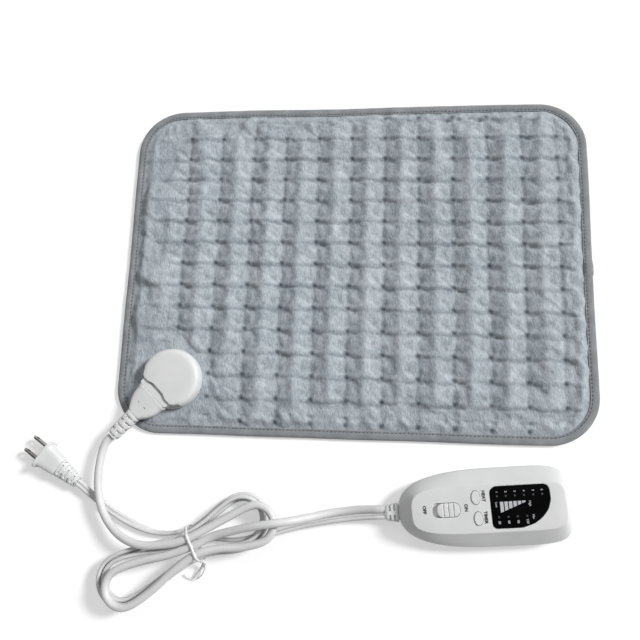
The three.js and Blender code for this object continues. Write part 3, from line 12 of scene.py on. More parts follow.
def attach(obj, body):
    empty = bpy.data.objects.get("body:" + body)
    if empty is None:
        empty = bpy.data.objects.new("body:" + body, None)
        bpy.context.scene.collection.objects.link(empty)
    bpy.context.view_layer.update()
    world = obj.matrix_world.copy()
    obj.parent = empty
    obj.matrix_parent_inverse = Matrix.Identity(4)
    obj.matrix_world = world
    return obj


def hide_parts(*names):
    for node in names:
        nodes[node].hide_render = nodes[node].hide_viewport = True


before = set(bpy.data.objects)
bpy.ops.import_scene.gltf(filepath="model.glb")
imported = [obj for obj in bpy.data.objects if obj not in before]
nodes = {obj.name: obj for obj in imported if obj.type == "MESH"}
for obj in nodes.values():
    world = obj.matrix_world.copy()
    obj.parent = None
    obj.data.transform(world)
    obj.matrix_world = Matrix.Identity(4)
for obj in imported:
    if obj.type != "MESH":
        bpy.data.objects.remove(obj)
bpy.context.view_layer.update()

MM = 0.001
scene = bpy.context.scene
scene.view_settings.view_transform = "Standard"


def mix(a, b, share):
    return a + (b - a) * share


def clamp(value, low=0.0, high=1.0):
    return min(max(value, low), high)


def ease(share):
    return (1 - math.cos(math.pi * clamp(share))) / 2


def srgb(*levels):
    """A linear colour from levels of 0 to 255."""
    shares = [level / 255 for level in levels]
    return [s / 12.92 if s <= 0.04045 else ((s + 0.055) / 1.055) ** 2.4 for s in shares] + [1.0]


def new_object(name, mesh):
    obj = bpy.data.objects.new(name, mesh)
    scene.collection.objects.link(obj)
    return obj


# Camera, fitted to the pad's four corners and the controller in the photograph
CAMERA_PLACE = (30.623, -156.585, 532.953)
CAMERA_AXES = (
    (0.9943734749707082, 0.03313892615943585, -0.10061413343898445),
    (-0.01236358579832316, 0.9796228196277014, 0.20046514163534623),
    (0.10520710062009035, -0.19809326802713764, 0.9745206632706372),
)
CAMERA_LENS = 35.854
SENSOR = 36


def make_camera():
    data = bpy.data.cameras.new("camera")
    data.lens, data.sensor_width = CAMERA_LENS, SENSOR
    scene.camera = new_object("camera", data)
    turn = Matrix(CAMERA_AXES).transposed().to_4x4()
    scene.camera.matrix_world = Matrix.Translation(Vector(CAMERA_PLACE) * MM) @ turn


make_camera()


# Mesh helpers
def finish_piece(obj, body, look, *replaced, slot=None, centre=(0, 0), angle=0.0):
    """Turns a piece out of its own frame, and gives it its body and its look; slot is not used."""
    obj.data.transform(Matrix.Translation(Vector((*centre, 0)) * MM) @ Matrix.Rotation(angle, 4, "Z"))
    obj.data.update()
    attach(obj, body)
    if replaced:
        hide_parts(*replaced)
    dress(obj, look)
    return obj


def make_mesh(name, points, faces, sharp=40):
    """A mesh from points in millimetres, smooth except where it bends by more than sharp degrees."""
    mesh = bpy.data.meshes.new(name)
    mesh.from_pydata((np.array(points, float) * MM).tolist(), [], faces)
    mesh.update()
    shade(mesh, sharp)
    return mesh


def shade(mesh, sharp=40):
    mesh.polygons.foreach_set("use_smooth", [True] * len(mesh.polygons))
    mesh.set_sharp_from_angle(angle=math.radians(sharp))


def skin(rings, looped=False):
    """Faces over a row of rings that have the same number of points."""
    count = len(rings[0])
    faces = []
    bands = len(rings) if looped else len(rings) - 1
    for k in range(bands):
        near, far = k * count, (k + 1) % len(rings) * count
        for i in range(count):
            j = (i + 1) % count
            faces.append((near + i, near + j, far + j, far + i))
    if not looped:
        last = (len(rings) - 1) * count
        faces.append(tuple(range(count))[::-1])
        faces.append(tuple(last + i for i in range(count)))
    return faces


def add_rings(points, faces, rings, looped=False):
    """Adds a skin over rings to a mesh in the making."""
    first = len(points)
    points += [p for ring in rings for p in ring]
    faces += [tuple(first + i for i in face) for face in skin(rings, looped)]


def loft(name, rings, sharp=40, looped=False):
    """A closed skin over rings, with its faces turned outward."""
    points = np.array([p for ring in rings for p in ring], float)
    faces = skin(rings, looped)
    room = 0.0
    for face in faces:
        a = points[face[0]]
        for b, c in zip(face[1:], face[2:]):
            room += float(np.dot(a, np.cross(points[b], points[c])))
    if room < 0:
        faces = [face[::-1] for face in faces]
    return make_mesh(name, points, faces, sharp)


# Looks: every material is a node tree over the object's own space, in millimetres
LOOKS = {}


class Look:
    def __init__(self, name, **facts):
        self.material = LOOKS[name] = bpy.data.materials.new(name)
        self.material.use_nodes = True
        self.tree = self.material.node_tree
        self.shader = self.tree.nodes["Principled BSDF"]
        self.place = self.tree.nodes.new("ShaderNodeTexCoord").outputs["Object"]
        self.normal = None
        for key, value in facts.items():
            self.shader.inputs[key.replace("_", " ")].default_value = value

    def node(self, kind, inputs, **facts):
        node = self.tree.nodes.new("ShaderNode" + kind)
        for key, value in facts.items():
            setattr(node, key, value)
        for key, value in inputs.items():
            self.feed(node.inputs[key], value)
        return node

    def feed(self, socket, value):
        if isinstance(value, bpy.types.NodeSocket):
            self.tree.links.new(value, socket)
        else:
            socket.default_value = value

    def scaled(self, size, stretch=(1, 1, 1), turn=0.0):
        scale = [s / size / MM for s in stretch]
        turned = self.node("Mapping", {"Vector": self.place, "Rotation": (0, 0, turn)})
        return self.node("Mapping", {"Vector": turned.outputs[0], "Scale": scale}).outputs[0]

    def noise(self, size, detail=2.0, stretch=(1, 1, 1), turn=0.0):
        vector = self.scaled(size, stretch, turn)
        node = self.node("TexNoise", {"Vector": vector, "Scale": 1.0, "Detail": detail})
        return node.outputs["Fac"]

    def bands(self, size, turn=0.0, wander=0.0):
        vector = self.scaled(size, turn=turn)
        facts = {"Vector": vector, "Scale": 1 / math.tau * math.pi, "Distortion": wander, "Detail": 1.0}
        return self.node("TexWave", facts).outputs["Fac"]

    def cells(self, size, stretch=(1, 1, 1)):
        facts = {"Vector": self.scaled(size, stretch), "Scale": 1.0}
        return self.node("TexVoronoi", facts).outputs["Distance"]

    def figure(self, kind, a, b):
        return self.node("Math", {0: a, 1: b}, operation=kind).outputs[0]

    def total(self, layers):
        """Rows of (layer, part), added up."""
        found = None
        for layer, part in layers:
            share = self.figure("MULTIPLY", layer, part)
            found = share if found is None else self.figure("ADD", found, share)
        return found

    def ramp(self, share, *stops):
        """A colour, or a grey level, from rows of (place, level)."""
        node = self.node("ValToRGB", {"Fac": share})
        marks = node.color_ramp.elements
        while len(marks) < len(stops):
            marks.new(0.5)
        for mark, (place, level) in zip(marks, stops):
            mark.position = place
            mark.color = srgb(*level) if isinstance(level, tuple) else (level, level, level, 1)
        return node.outputs["Color"]

    def blend(self, share, a, b, kind="MIX"):
        node = self.node("Mix", {0: share, 6: a, 7: b}, data_type="RGBA", blend_type=kind)
        return node.outputs[2]

    def color(self, value):
        self.feed(self.shader.inputs["Base Color"], value)
        return self

    def rough(self, share, low, high):
        self.feed(self.shader.inputs["Roughness"], self.ramp(share, (0.3, low), (0.7, high)))
        return self

    def bump(self, height, depth, strength=1.0):
        inputs = {"Height": height, "Distance": depth * MM, "Strength": strength}
        if self.normal:
            inputs["Normal"] = self.normal
        self.normal = self.node("Bump", inputs).outputs["Normal"]
        self.feed(self.shader.inputs["Normal"], self.normal)
        return self


def layered(name, stops, layers, rough=None, bumps=(), tone=0, painted_shade_color=None, **facts):
    """A look of noise layers. Its colours follow tone, its roughness and its bumps follow a layer each."""
    look = Look(name, **facts)
    noises = [look.noise(*layer) for layer in layers]
    share = noises[tone] if isinstance(tone, int) else look.total([(noises[i], part) for i, part in tone])
    colors = look.ramp(share, *stops)
    # Painted shade: the colour is drawn toward a darker colour where the mesh's per-vertex attribute says
    # shade falls
    if painted_shade_color:
        painted_shade = look.node("Attribute", {}, attribute_name="painted_shade").outputs["Fac"]
        colors = look.blend(painted_shade, colors, srgb(*painted_shade_color))
    look.color(colors)
    if rough:
        look.rough(noises[rough[0]], *rough[1:])
    for layer, depth, strength in bumps:
        look.bump(noises[layer], depth, strength)
    return look


def spread(dark, light):
    return (0.3, dark), (0.7, light)


def moulded_look(name, dark, light, grain=0.05):
    """Satin moulded plastic: fine eroded grain, slow changes of tone, and wear in its gloss."""
    layers = (24, 2), (0.45, 2), (5, 4, (1, 0.6, 1), 0.4)
    layered(name, spread(dark, light), layers, (2, 0.42, 0.56), [(1, grain, 0.5)], Specular_IOR_Level=0.45)


def printed_look(name, dark, light):
    layered(name, spread(dark, light), [(0.35, 2)], (0, 0.5, 0.7), Specular_IOR_Level=0.3)


def metal_look(name, dark, light, low, high):
    layers = (0.4, 2, (0.08, 1, 1), 0.6), (4, 3)
    layered(name, spread(dark, light), layers, (1, low, high), [(0, 0.02, 0.5)], 1, Metallic=1.0)


def dipped_look(name, dark, light):
    gloss = {"Specular_IOR_Level": 0.5, "Coat_Weight": 0.2}
    layered(name, spread(dark, light), [(3, 3)], (0, 0.25, 0.4), [(0, 0.08, 0.4)], **gloss)


def tape_look():
    look = Look("tape", Roughness=0.85, Sheen_Weight=0.3, Sheen_Roughness=0.35, Specular_IOR_Level=0.3)
    weave = look.figure("MAXIMUM", *(look.bands(0.8, turn, 0.4) for turn in (math.pi / 4, -math.pi / 4)))
    wear = look.noise(11, 3)
    tone = look.ramp(wear, (0.3, (135, 139, 142)), (0.55, (147, 151, 154)), (0.75, (160, 164, 167)))
    look.color(look.blend(look.ramp(weave, (0.1, 0.45), (0.9, 0.0)), tone, srgb(99, 103, 107)))
    look.rough(wear, 0.75, 0.95).bump(weave, 0.12, 0.8)


def thread_look():
    look = Look("thread", Roughness=0.7, Sheen_Weight=0.3, Specular_IOR_Level=0.3)
    twist = look.bands(0.35, math.pi / 3)
    # Painted shade: the thread is darker than its own grey, to stand for the shade of the tuft pits it sits
    # in; the binding stitches share this colour
    look.color(look.ramp(twist, (0.2, (70, 76, 83)), (0.8, (98, 104, 111)))).bump(twist, 0.06, 0.8)


def board_look():
    look = Look("board", Specular_IOR_Level=0.5)
    tracks = look.figure("MAXIMUM", look.bands(2.1, 0.09, 0.6), look.bands(3.4, math.pi / 2 + 0.09, 0.8))
    weave = look.noise(0.5, 2)
    mask = look.ramp(tracks, (0.62, 0.0), (0.66, 1.0))
    look.color(look.blend(mask, look.ramp(weave, *spread((22, 78, 48), (30, 92, 57))), srgb(58, 128, 78)))
    look.rough(weave, 0.35, 0.5).bump(mask, 0.04, 0.6)


def make_looks():
    # Short pile: soft patches, streaks of nap, and painted shade in the tuft pits, along the tack-row creases
    # and beside the valleys
    layered(
        "plush",
        ((0.38, (138, 146, 153)), (0.47, (160, 168, 174)), (0.53, (172, 179, 185)), (0.62, (190, 196, 201))),
        ((17, 3, (1, 1.4, 1)), (1.15, 3, (1, 0.3, 1), -0.2), (4.5, 2, (1, 0.6, 1), -0.2),
         (0.7, 2, (1, 0.4, 1), 0.4)),
        bumps=((1, 0.6, 0.7), (2, 0.6, 0.4), (3, 0.25, 0.6)), tone=((0, 0.3), (1, 0.4), (2, 0.15), (3, 0.15)),
        painted_shade_color=(84, 92, 99), Roughness=1.0, Sheen_Weight=0.25, Sheen_Roughness=0.45, Specular_IOR_Level=0.1,
    )
    layered(
        "backing", ((0.36, (134, 143, 151)), (0.5, (164, 173, 181)), (0.66, (188, 196, 203))),
        ((9, 3, (1, 1.4, 1)), (0.6, 2, (1, 1.5, 1), 0.3)), bumps=((0, 0.4, 0.4), (1, 0.2, 0.7)),
        tone=((0, 0.6), (1, 0.4)), Roughness=1.0, Sheen_Weight=0.25, Sheen_Roughness=0.5,
        Specular_IOR_Level=0.1,
    )
    tape_look()
    thread_look()
    layered(
        "felt", ((0.35, (203, 198, 187)), (0.65, (236, 233, 224))), ((0.7, 3, (1, 0.35, 1), 0.7), (6, 2)),
        bumps=[(0, 0.15, 0.7)], tone=((0, 0.6), (1, 0.4)), Roughness=1.0, Specular_IOR_Level=0.1,
    )
    moulded_look("wire_jacket", (205, 200, 188), (222, 218, 207))
    moulded_look("white_plastic", (214, 215, 215), (222, 222, 222))
    moulded_look("cord_jacket", (206, 206, 207), (217, 217, 217), 0.03)
    moulded_look("black_plastic", (24, 25, 28), (36, 37, 40))
    paper = layered(
        "tie_paper", spread((224, 225, 224), (244, 244, 243)), [(0.5, 3, (1, 0.5, 1), 0.5)], (0, 0.55, 0.75),
        [(0, 0.05, 0.6)], Specular_IOR_Level=0.3,
    )
    paper.bump(paper.cells(1.8, (1, 2.5, 1)), 0.12, 0.5)
    layered(
        "window", spread((2, 2, 3), (6, 6, 7)), ((9, 3, (1, 0.4, 1), 0.6), (18, 1)), (0, 0.1, 0.2),
        [(0, 0.01, 0.3)], 1, Specular_IOR_Level=0.1, Coat_Weight=0.03, Coat_Roughness=0.04,
    )
    printed_look("print_dark", (30, 31, 34), (44, 46, 49))
    printed_look("print_pale", (176, 179, 183), (200, 202, 205))
    printed_look("print_dim", (58, 60, 64), (76, 78, 83))
    metal_look("contact_metal", (128, 126, 122), (168, 165, 160), 0.22, 0.38)
    metal_look("screw_steel", (150, 151, 153), (190, 191, 193), 0.28, 0.45)
    board_look()
    dipped_look("film_case", (146, 92, 24), (178, 118, 40))
    dipped_look("lamp", (196, 120, 44), (224, 152, 74))
    layered(
        "fuse_glass", spread((214, 224, 226), (236, 242, 243)), [(1.2, 3)], (0, 0.03, 0.12), [(0, 0.01, 0.3)],
        Transmission_Weight=0.75, IOR=1.45,
    )


make_looks()


def dress(obj, look):
    obj.data.materials.clear()
    obj.data.materials.append(LOOKS[look])


# Moulded pieces are lofts of rings, cut by plain solids
def bent(value, power):
    return math.copysign(abs(value) ** power, value)


def power_ring(place, centre, halves, power, count, dent=None):
    """A superellipse across the local x axis; dent(angle) draws the ring in."""
    ring = []
    for i in range(count):
        a = (i + 0.5) * math.tau / count
        inward = dent(a) if dent else 0
        across = bent(math.cos(a), 2 / power) * (halves[0] - inward)
        up = bent(math.sin(a), 2 / power) * (halves[1] - inward)
        ring.append((place, centre[0] + across, centre[1] + up))
    return ring


def prism(name, outline, low, high, flare=0.0, rim=None):
    """An upright block for cutting; from its rim up it widens, so that it leaves a chamfer."""
    middle = np.mean(outline, axis=0)
    levels = [(low, 0.0), (high, 0.0)]
    if rim is not None:
        levels = [(low, 0.0), (rim - flare, 0.0), (rim + flare, 2 * flare), (high, 2 * flare)]
    rings = []
    for z, grow in levels:
        ring = []
        for x, y in outline:
            away = np.array((x, y)) - middle
            out = away * (1 + grow / np.linalg.norm(away))
            ring.append((middle[0] + out[0], middle[1] + out[1], z))
        rings.append(ring)
    return loft(name, rings)


def apply_modifiers(obj):
    evaluated = obj.evaluated_get(bpy.context.evaluated_depsgraph_get())
    mesh = bpy.data.meshes.new_from_object(evaluated)
    obj.modifiers.clear()
    obj.data = mesh


def cut_by(obj, cutters, kind="DIFFERENCE"):
    for mesh in cutters:
        tool = new_object("tool", mesh)
        change = obj.modifiers.new("cut", "BOOLEAN")
        change.operation, change.solver, change.object = kind, "EXACT", tool
        apply_modifiers(obj)
        bpy.data.objects.remove(tool)
    shade(obj.data, 32)


def ellipse(x, y, half_x, half_y, count=48):
    """Points counterclockwise round an ellipse."""
    steps = [math.tau * i / count for i in range(count)]
    return [(x + half_x * math.cos(a), y + half_y * math.sin(a)) for a in steps]


def rounded_box(x, y, length, width, corner, count=10):
    points = []
    for k, (sx, sy) in enumerate(((1, 1), (-1, 1), (-1, -1), (1, -1))):
        for i in range(count + 1):
            a = (k + i / count) * math.pi / 2
            points.append((
                x + sx * (length / 2 - corner) + corner * math.cos(a),
                y + sy * (width / 2 - corner) + corner * math.sin(a),
            ))
    return points


def round_prism(name, x, y, radius, low, high, count=32):
    return prism(name, ellipse(x, y, radius, radius, count), low, high)


def add_slots(index, reach):
    """Four slots round a strain relief, shifted by half a slot from ring to ring."""
    def dent(a):
        shift = math.pi / 2 if index % 2 else 0
        return reach * clamp((abs(math.cos(2 * a + shift)) - 0.3) / 0.15)
    return dent


def ribbed_relief(name, start, length, height, near, far, ribs, groove):
    """A tapered strain relief with rings of slots that take turns."""
    rings = [power_ring(start, (0, height), (near[0] - 0.3, near[1] - 0.3), 2.4, 64)]
    for k in range(ribs):
        for share, depth in ((0.06, 0), (0.46, 0), (0.52, 1), (0.92, 1), (0.98, 0)):
            along = (k + share) / ribs
            halves = mix(near[0], far[0], along), mix(near[1], far[1], along)
            slots = add_slots(k, groove)
            dent = slots if depth else None
            rings.append(power_ring(start + length * along, (0, height), halves, 2.4, 64, dent))
    rings.append(power_ring(start + length, (0, height), (far[0] - 0.4, far[1] - 0.4), 2.4, 64))
    return new_object(name, loft(name, rings, 32))


def turned(place, centre, angle):
    """A local place, turned about its centre into the shared frame."""
    x, y, z = place
    c, s = math.cos(angle), math.sin(angle)
    return centre[0] + x * c - y * s, centre[1] + x * s + y * c, z


# Plug: its own x runs toward the cord
PLUG, PLUG_TURN, PLUG_HEIGHT = (-257.8, -168.2), math.radians(-34), 7.6
FLANGE, GRIP_NEAR, GRIP_FAR, GRIP_END = (12.35, 7.6), (10.2, 6.6), (7.8, 5.6), 19.8
# The flange's section: how far along, and how much narrower and lower
FLANGE_MARKS = ((0, 0.7, 0.7), (0.15, 0.3, 0.3), (0.5, 0, 0), (2.0, 0, 0), (2.35, 0.25, 0.2), (2.5, 0.6, 0.5))
BLADE_SIDE, BLADE_SLOT, BLADE_SLOT_DEPTH = 6.35, (1.05, 3.475), 5.3


def make_plug():
    def ring(x, halves, power):
        return power_ring(x, (0, PLUG_HEIGHT), halves, power, 80)
    rings = [ring(x, (FLANGE[0] - a, FLANGE[1] - b), 5) for x, a, b in FLANGE_MARKS]
    for share in (0, 0.05, 0.3, 0.5, 0.75, 0.93, 1):
        cove, rim = 0.5 * (1 - ease(share / 0.06)), 0.3 * (share == 1)
        wide, high = mix(GRIP_NEAR[0], GRIP_FAR[0], share), mix(GRIP_NEAR[1], GRIP_FAR[1], share)
        rings.append(ring(mix(2.52, GRIP_END, share), (wide + cove - rim, high + cove / 2 - rim), 4))
    obj = new_object("plug_grip", loft("plug_grip", rings, 34))
    half, up = BLADE_SLOT
    for side in (-BLADE_SIDE, BLADE_SIDE):
        corners = [(side + half * y, PLUG_HEIGHT + up * z) for y, z in ((-1, -1), (1, -1), (1, 1), (-1, 1))]
        cut_by(obj, [loft("tool", [[(x, *corner) for corner in corners] for x in (-1, BLADE_SLOT_DEPTH)])])
    return obj


plug_place = {"centre": PLUG, "angle": PLUG_TURN}
plain = "control_lead", "white_plastic"
plug_grip = finish_piece(make_plug(), *plain, "plug_body", **plug_place)
plug_relief = ribbed_relief("plug_relief", 20.1, 19.6, PLUG_HEIGHT, GRIP_FAR, (4.9, 3.2), 6, 1.4)
finish_piece(plug_relief, *plain, "plug_strain_relief", **plug_place)


# Cords
ROUND_CORD = 6.5
FLAT_CORD = 6.2
FLAT_CORD_THICKNESS = 3.2
CORD_STEP = 1.6

PAD_LEAD_POINTS = (
    (-196.48, -151.37, 12.5), (-200.98, -156.07, 12.5), (-203.5, -163.2, 12.5), (-204.9, -172.3, 12.5),
    (-205.4, -182.3, 12.4), (-204.8, -192.3, 12.2), (-202.3, -203.8, 12), (-197.8, -214.1, 11.7),
    (-191.2, -222.6, 12.5), (-182.5, -229.4, 14.8), (-171.3, -234.4, 16.9), (-159.9, -236.4, 17.6),
    (-148.4, -235.6, 17.9), (-135.59, -233.44, 18.41),
)
PAD_TAIL_POINTS = (
    (-108.08, -228.64, 18.41), (-101.5, -225.8, 19), (-89.9, -222.2, 21), (-77.4, -218.8, 23.4),
    (-65.4, -216.1, 24.9), (-54.4, -214.2, 24.6), (-44.4, -212.8, 21.2), (-34.9, -211.2, 15.5),
    (-24.9, -209.2, 9.8), (-13.9, -206.8, 5.3), (-2.9, -205, 3.7), (8.6, -203.2, 4.3), (18.1, -202.4, 6),
    (24.1, -202.04, 7.4), (30.57, -201.42, 7.4),
)
MAINS_LEAD_POINTS = (
    (-224.64, -190.57, 7.6), (-219.5, -194.03, 7.6), (-214.5, -198, 6.8), (-205.8, -204.3, 5.6),
    (-194.3, -212.3, 4.2), (-180.9, -219.7, 3.5), (-167.4, -225, 3.5), (-154.4, -228, 3.6),
    (-138.26, -227.03, 4.84),
)
MAINS_TAIL_POINTS = (
    (-102.74, -240.17, 11.64), (-94.9, -239.2, 10.9), (-82.4, -237, 10.4), (-71.3, -232.5, 10.3),
    (-60.9, -225.7, 9.4), (-48.8, -221.5, 6.5), (-36, -218, 3.9), (-22.9, -215.1, 3.5), (-9.9, -212.5, 3.5),
    (3.1, -210.5, 3.8), (14.6, -209, 5.4), (24.95, -207.88, 7.4), (31.12, -207.3, 7.4),
)
# Share of a quarter turn by which the flat cord is rolled, at its first points; on edge after them
MAINS_ROLL_SHARES = (1, 1, 1, 1, 1, 0.8, 0.45, 0.1)


def smooth_path(points, values, step):
    """A smooth path through points, cut into even steps, with a value carried along it."""
    places = np.array(points, float)
    chords = np.sqrt(np.linalg.norm(np.diff(places, axis=0), axis=1))
    knots = np.concatenate([[0], np.cumsum(chords)])
    slopes = np.gradient(places, knots, axis=0)
    found, carried = [], []
    for k in range(len(places) - 1):
        span = knots[k + 1] - knots[k]
        parts = max(2, math.ceil(np.linalg.norm(places[k + 1] - places[k]) / step))
        for i in range(parts + (k == len(places) - 2)):
            t = i / parts
            found.append(
                (2 * t**3 - 3 * t**2 + 1) * places[k] + (t**3 - 2 * t**2 + t) * span * slopes[k]
                + (3 * t**2 - 2 * t**3) * places[k + 1] + (t**3 - t**2) * span * slopes[k + 1]
            )
            carried.append(mix(values[k], values[k + 1], ease(t)))
    return np.array(found), carried


def sweep(path, section, rolls):
    """Rings of a section along a path; the section's second axis stays as near to upright as it can."""
    rings = []
    tangents = np.gradient(path, axis=0)
    for place, tangent, roll in zip(path, tangents, rolls):
        forward = Vector(tangent).normalized()
        side = Vector((0, 0, 1)).cross(forward).normalized()
        up = forward.cross(side)
        across = side * math.cos(roll) + up * math.sin(roll)
        over = up * math.cos(roll) - side * math.sin(roll)
        rings.append([Vector(place) + across * x + over * y for x, y in section])
    return rings


def twin_section(width, thickness, count=16):
    """Two cores side by side in one jacket, with a shallow groove along the middle of each face."""
    radius, groove = thickness / 2, 0.55
    centre = width / 2 - radius
    turn = math.acos(-0.5)
    section = []
    for sign in (1, -1):
        for i in range(count + 1):
            angle = mix(-turn, turn, i / count) + (math.pi / 2 if sign > 0 else -math.pi / 2)
            section.append((radius * math.cos(angle), sign * centre + radius * math.sin(angle)))
        section.append((-sign * (radius - groove), 0))
    return section


def make_cord(name, points, section, rolls, **facts):
    path, carried = smooth_path(points, rolls, CORD_STEP)
    obj = new_object(name, loft(name, sweep(path, section, carried), 60))
    names = [name + part for part in ("_lead", "_hank", "_tail")]
    finish_piece(obj, "control_lead", "cord_jacket", *names)
    length = float(np.sum(np.linalg.norm(np.diff(path, axis=0), axis=1))) * MM
    [x * MM for x in points[facts.pop("exit_at")]]
    print(name, "is", round(length, 3), "m long")


# Hank: strands lie along its own x, drawn in at the tie in its middle
HANK, HANK_TURN = (-120.5, -233.6), math.radians(28)
RIGHT_CENTRE, LEFT_CENTRE, END_RADIUS, HALF_TURNS = 42, 65, 20.4, 6
WAIST, PITCH = 11.9, 3.95  # the outermost crossing at the tie, and the strands' spacing
LOW_LAYER, HIGH_LAYER, PAD_LAYER = 3.5, 10.3, 17.1
HANK_LIFT, LIFT_REACH, CLIMB_REACH = 1.6, 34, 25
PAD_LOOP_RIGHT, PAD_LOOP_LEFT, PAD_LOOP_RADIUS = (52, -8), (64, -6), 14.5
PAD_ENTRY, PAD_BACK, PAD_EXIT = 5.6, -8.5, -1.45
RUN_STEPS, ARC_STEPS = 3, 6


def from_hank(along, across, z):
    z += HANK_LIFT * (1 - ease(abs(along) / LIFT_REACH))
    return tuple(round(v, 2) for v in turned((along, across, z), HANK, HANK_TURN))


def half_turn(side, centre, radius, enter, entry, leave):
    """Out from the waist along a run, round an end of the hank, and back: rows of (along, across)."""
    reach, middle = centre
    runs = [i / RUN_STEPS for i in range(RUN_STEPS)]
    arc = [math.pi / 2 - math.pi * i / ARC_STEPS for i in range(ARC_STEPS + 1)]
    out = [(side * reach * s, mix(entry, middle + enter * radius, ease(s))) for s in runs]
    end = [(side * (reach + radius * math.cos(a)), middle + enter * radius * math.sin(a)) for a in arc]
    back = [(side * reach * s, mix(leave, middle - enter * radius, ease(s))) for s in runs[:0:-1]]
    return out + end + back


def mains_waist(crossing):
    """Where the flat cord crosses the waist."""
    if crossing * 2 == HALF_TURNS:
        return 0
    inward = crossing * 2 < HALF_TURNS
    sign = -1 if inward == (crossing % 2 == 1) else 1
    return sign * (WAIST - PITCH * min(crossing, HALF_TURNS - crossing) / 2)


def mains_strand():
    """The flat cord stands on edge and winds in to the middle, then out again one layer up."""
    places = []
    for k in range(HALF_TURNS):
        side, outward = -1 if k % 2 else 1, k * 2 >= HALF_TURNS
        centre = (RIGHT_CENTRE if side > 0 else LEFT_CENTRE), 0
        radius = END_RADIUS - PITCH * min(k + 0.5, HALF_TURNS - 0.5 - k) / 2
        enter = -side if outward else side
        turn = half_turn(side, centre, radius, enter, mains_waist(k), mains_waist(k + 1))
        for i, (along, across) in enumerate(turn):
            returning = i > RUN_STEPS + ARC_STEPS / 2
            climbs = k * 2 == HALF_TURNS - 2 and returning or k * 2 == HALF_TURNS and not returning
            share = ease((CLIMB_REACH - along) / (2 * CLIMB_REACH)) if climbs else outward
            places.append(from_hank(along, across, mix(LOW_LAYER, HIGH_LAYER, share)))
    return places + [from_hank(0, mains_waist(HALF_TURNS), HIGH_LAYER)]


def pad_strand():
    """The round cord makes one turn on top of the flat one."""
    places = half_turn(1, PAD_LOOP_RIGHT, PAD_LOOP_RADIUS, 1, PAD_ENTRY, PAD_BACK)
    places += half_turn(-1, PAD_LOOP_LEFT, PAD_LOOP_RADIUS, -1, PAD_BACK, PAD_EXIT)
    return [from_hank(*place, PAD_LAYER) for place in places + [(0, PAD_EXIT)]]


# Tie round the hank; its places are along and across the hank, and up
TIE_LOOP = (
    (12.6, 1.3), (14.3, 3.1), (14.5, 9), (14.5, 15.2), (9.4, 21), (8.0, 22.65), (0, 22.75), (-10.6, 22.65),
    (-12.6, 21), (-14.5, 15.2), (-14.5, 9), (-14.3, 3.1), (-12.6, 1.3), (0, 1.25),
)
TIE_TAILS = (
    ((0.6, -14.9, 12), (0.2, -15.9, 10.4), (-0.4, -16.9, 8.6), (-2, -18.4, 6.6), (-6, -20.8, 4.2),
     (-10.6, -22.9, 2.6), (-15.8, -25.1, 1.4)),
    ((-0.6, -14.9, 12), (0.4, -16.6, 10.2), (0.6, -17.6, 8.2), (-1.6, -20.6, 5.4), (-6.2, -24.4, 3),
     (-12.4, -25.9, 1.6), (-17.8, -22.6, 1.2), (-20.2, -18.6, 1.2)),
)
TIE_STEP = 0.7
TIE_SECTION = ((1.15, 0), (1.0, 0.2), (0.5, 0.26), (0.3, 0.42), (-0.3, 0.42), (-0.5, 0.26), (-1.0, 0.2),
               (-1.15, 0), (-1.0, -0.2), (-0.3, -0.36), (0.3, -0.36), (1.0, -0.2))


def make_tie():
    points, faces = [], []
    loop = [(0, y, z) for y, z in TIE_LOOP]
    closed, _ = smooth_path(loop + loop[:2], [0] * (len(loop) + 2), TIE_STEP)
    lead = np.linalg.norm(closed - np.array(loop[1]), axis=1)
    start = int(np.argmin(lead[:len(lead) // 2]))
    closed = closed[start:]
    rings = []
    for i, place in enumerate(closed[:-1]):
        ahead = Vector(closed[(i + 1) % (len(closed) - 1)] - closed[i - 1 if i else -2]).normalized()
        side = Vector((1, 0, 0))
        up = ahead.cross(side)
        rings.append([Vector(place) + side * x + up * y for x, y in TIE_SECTION])
    add_rings(points, faces, rings, True)
    for turns, tail in zip((0, 1.2), TIE_TAILS):
        path, _ = smooth_path(tail, [0] * len(tail), TIE_STEP)
        rolls = [turns * math.tau * min(1, i / 18) for i in range(len(path))]
        add_rings(points, faces, sweep(path, TIE_SECTION, rolls))
    mesh = make_mesh("cord_tie", [turned(p, HANK, HANK_TURN) for p in points], faces, 50)
    return finish_piece(new_object("cord_tie", mesh), "control_lead", "tie_paper", "twist_tie")


cord_tie = make_tie()


pad_points = (*PAD_LEAD_POINTS, *pad_strand(), *PAD_TAIL_POINTS)
make_cord(
    "pad_cord", pad_points, ellipse(0, 0, ROUND_CORD / 2, ROUND_CORD / 2, 20), [0] * len(pad_points),
    exit_at=0,
    length=0.64, diameter=ROUND_CORD * MM, far_end="object", stiffness="medium", lay="loose",
)
mains_points = (*MAINS_LEAD_POINTS, *mains_strand(), *MAINS_TAIL_POINTS)
mains_rolls = [share * math.pi / 2 for share in MAINS_ROLL_SHARES]
make_cord(
    "mains_cord", mains_points, twin_section(FLAT_CORD, FLAT_CORD_THICKNESS),
    mains_rolls + [0] * (len(mains_points) - len(mains_rolls)), exit_at=-1,
    length=1.24, diameter=FLAT_CORD * MM, far_end="plug", stiffness="medium", lay="loose",
    with_pieces=[plug_grip, plug_relief, nodes["plug_blade_1"], nodes["plug_blade_2"], cord_tie],
)


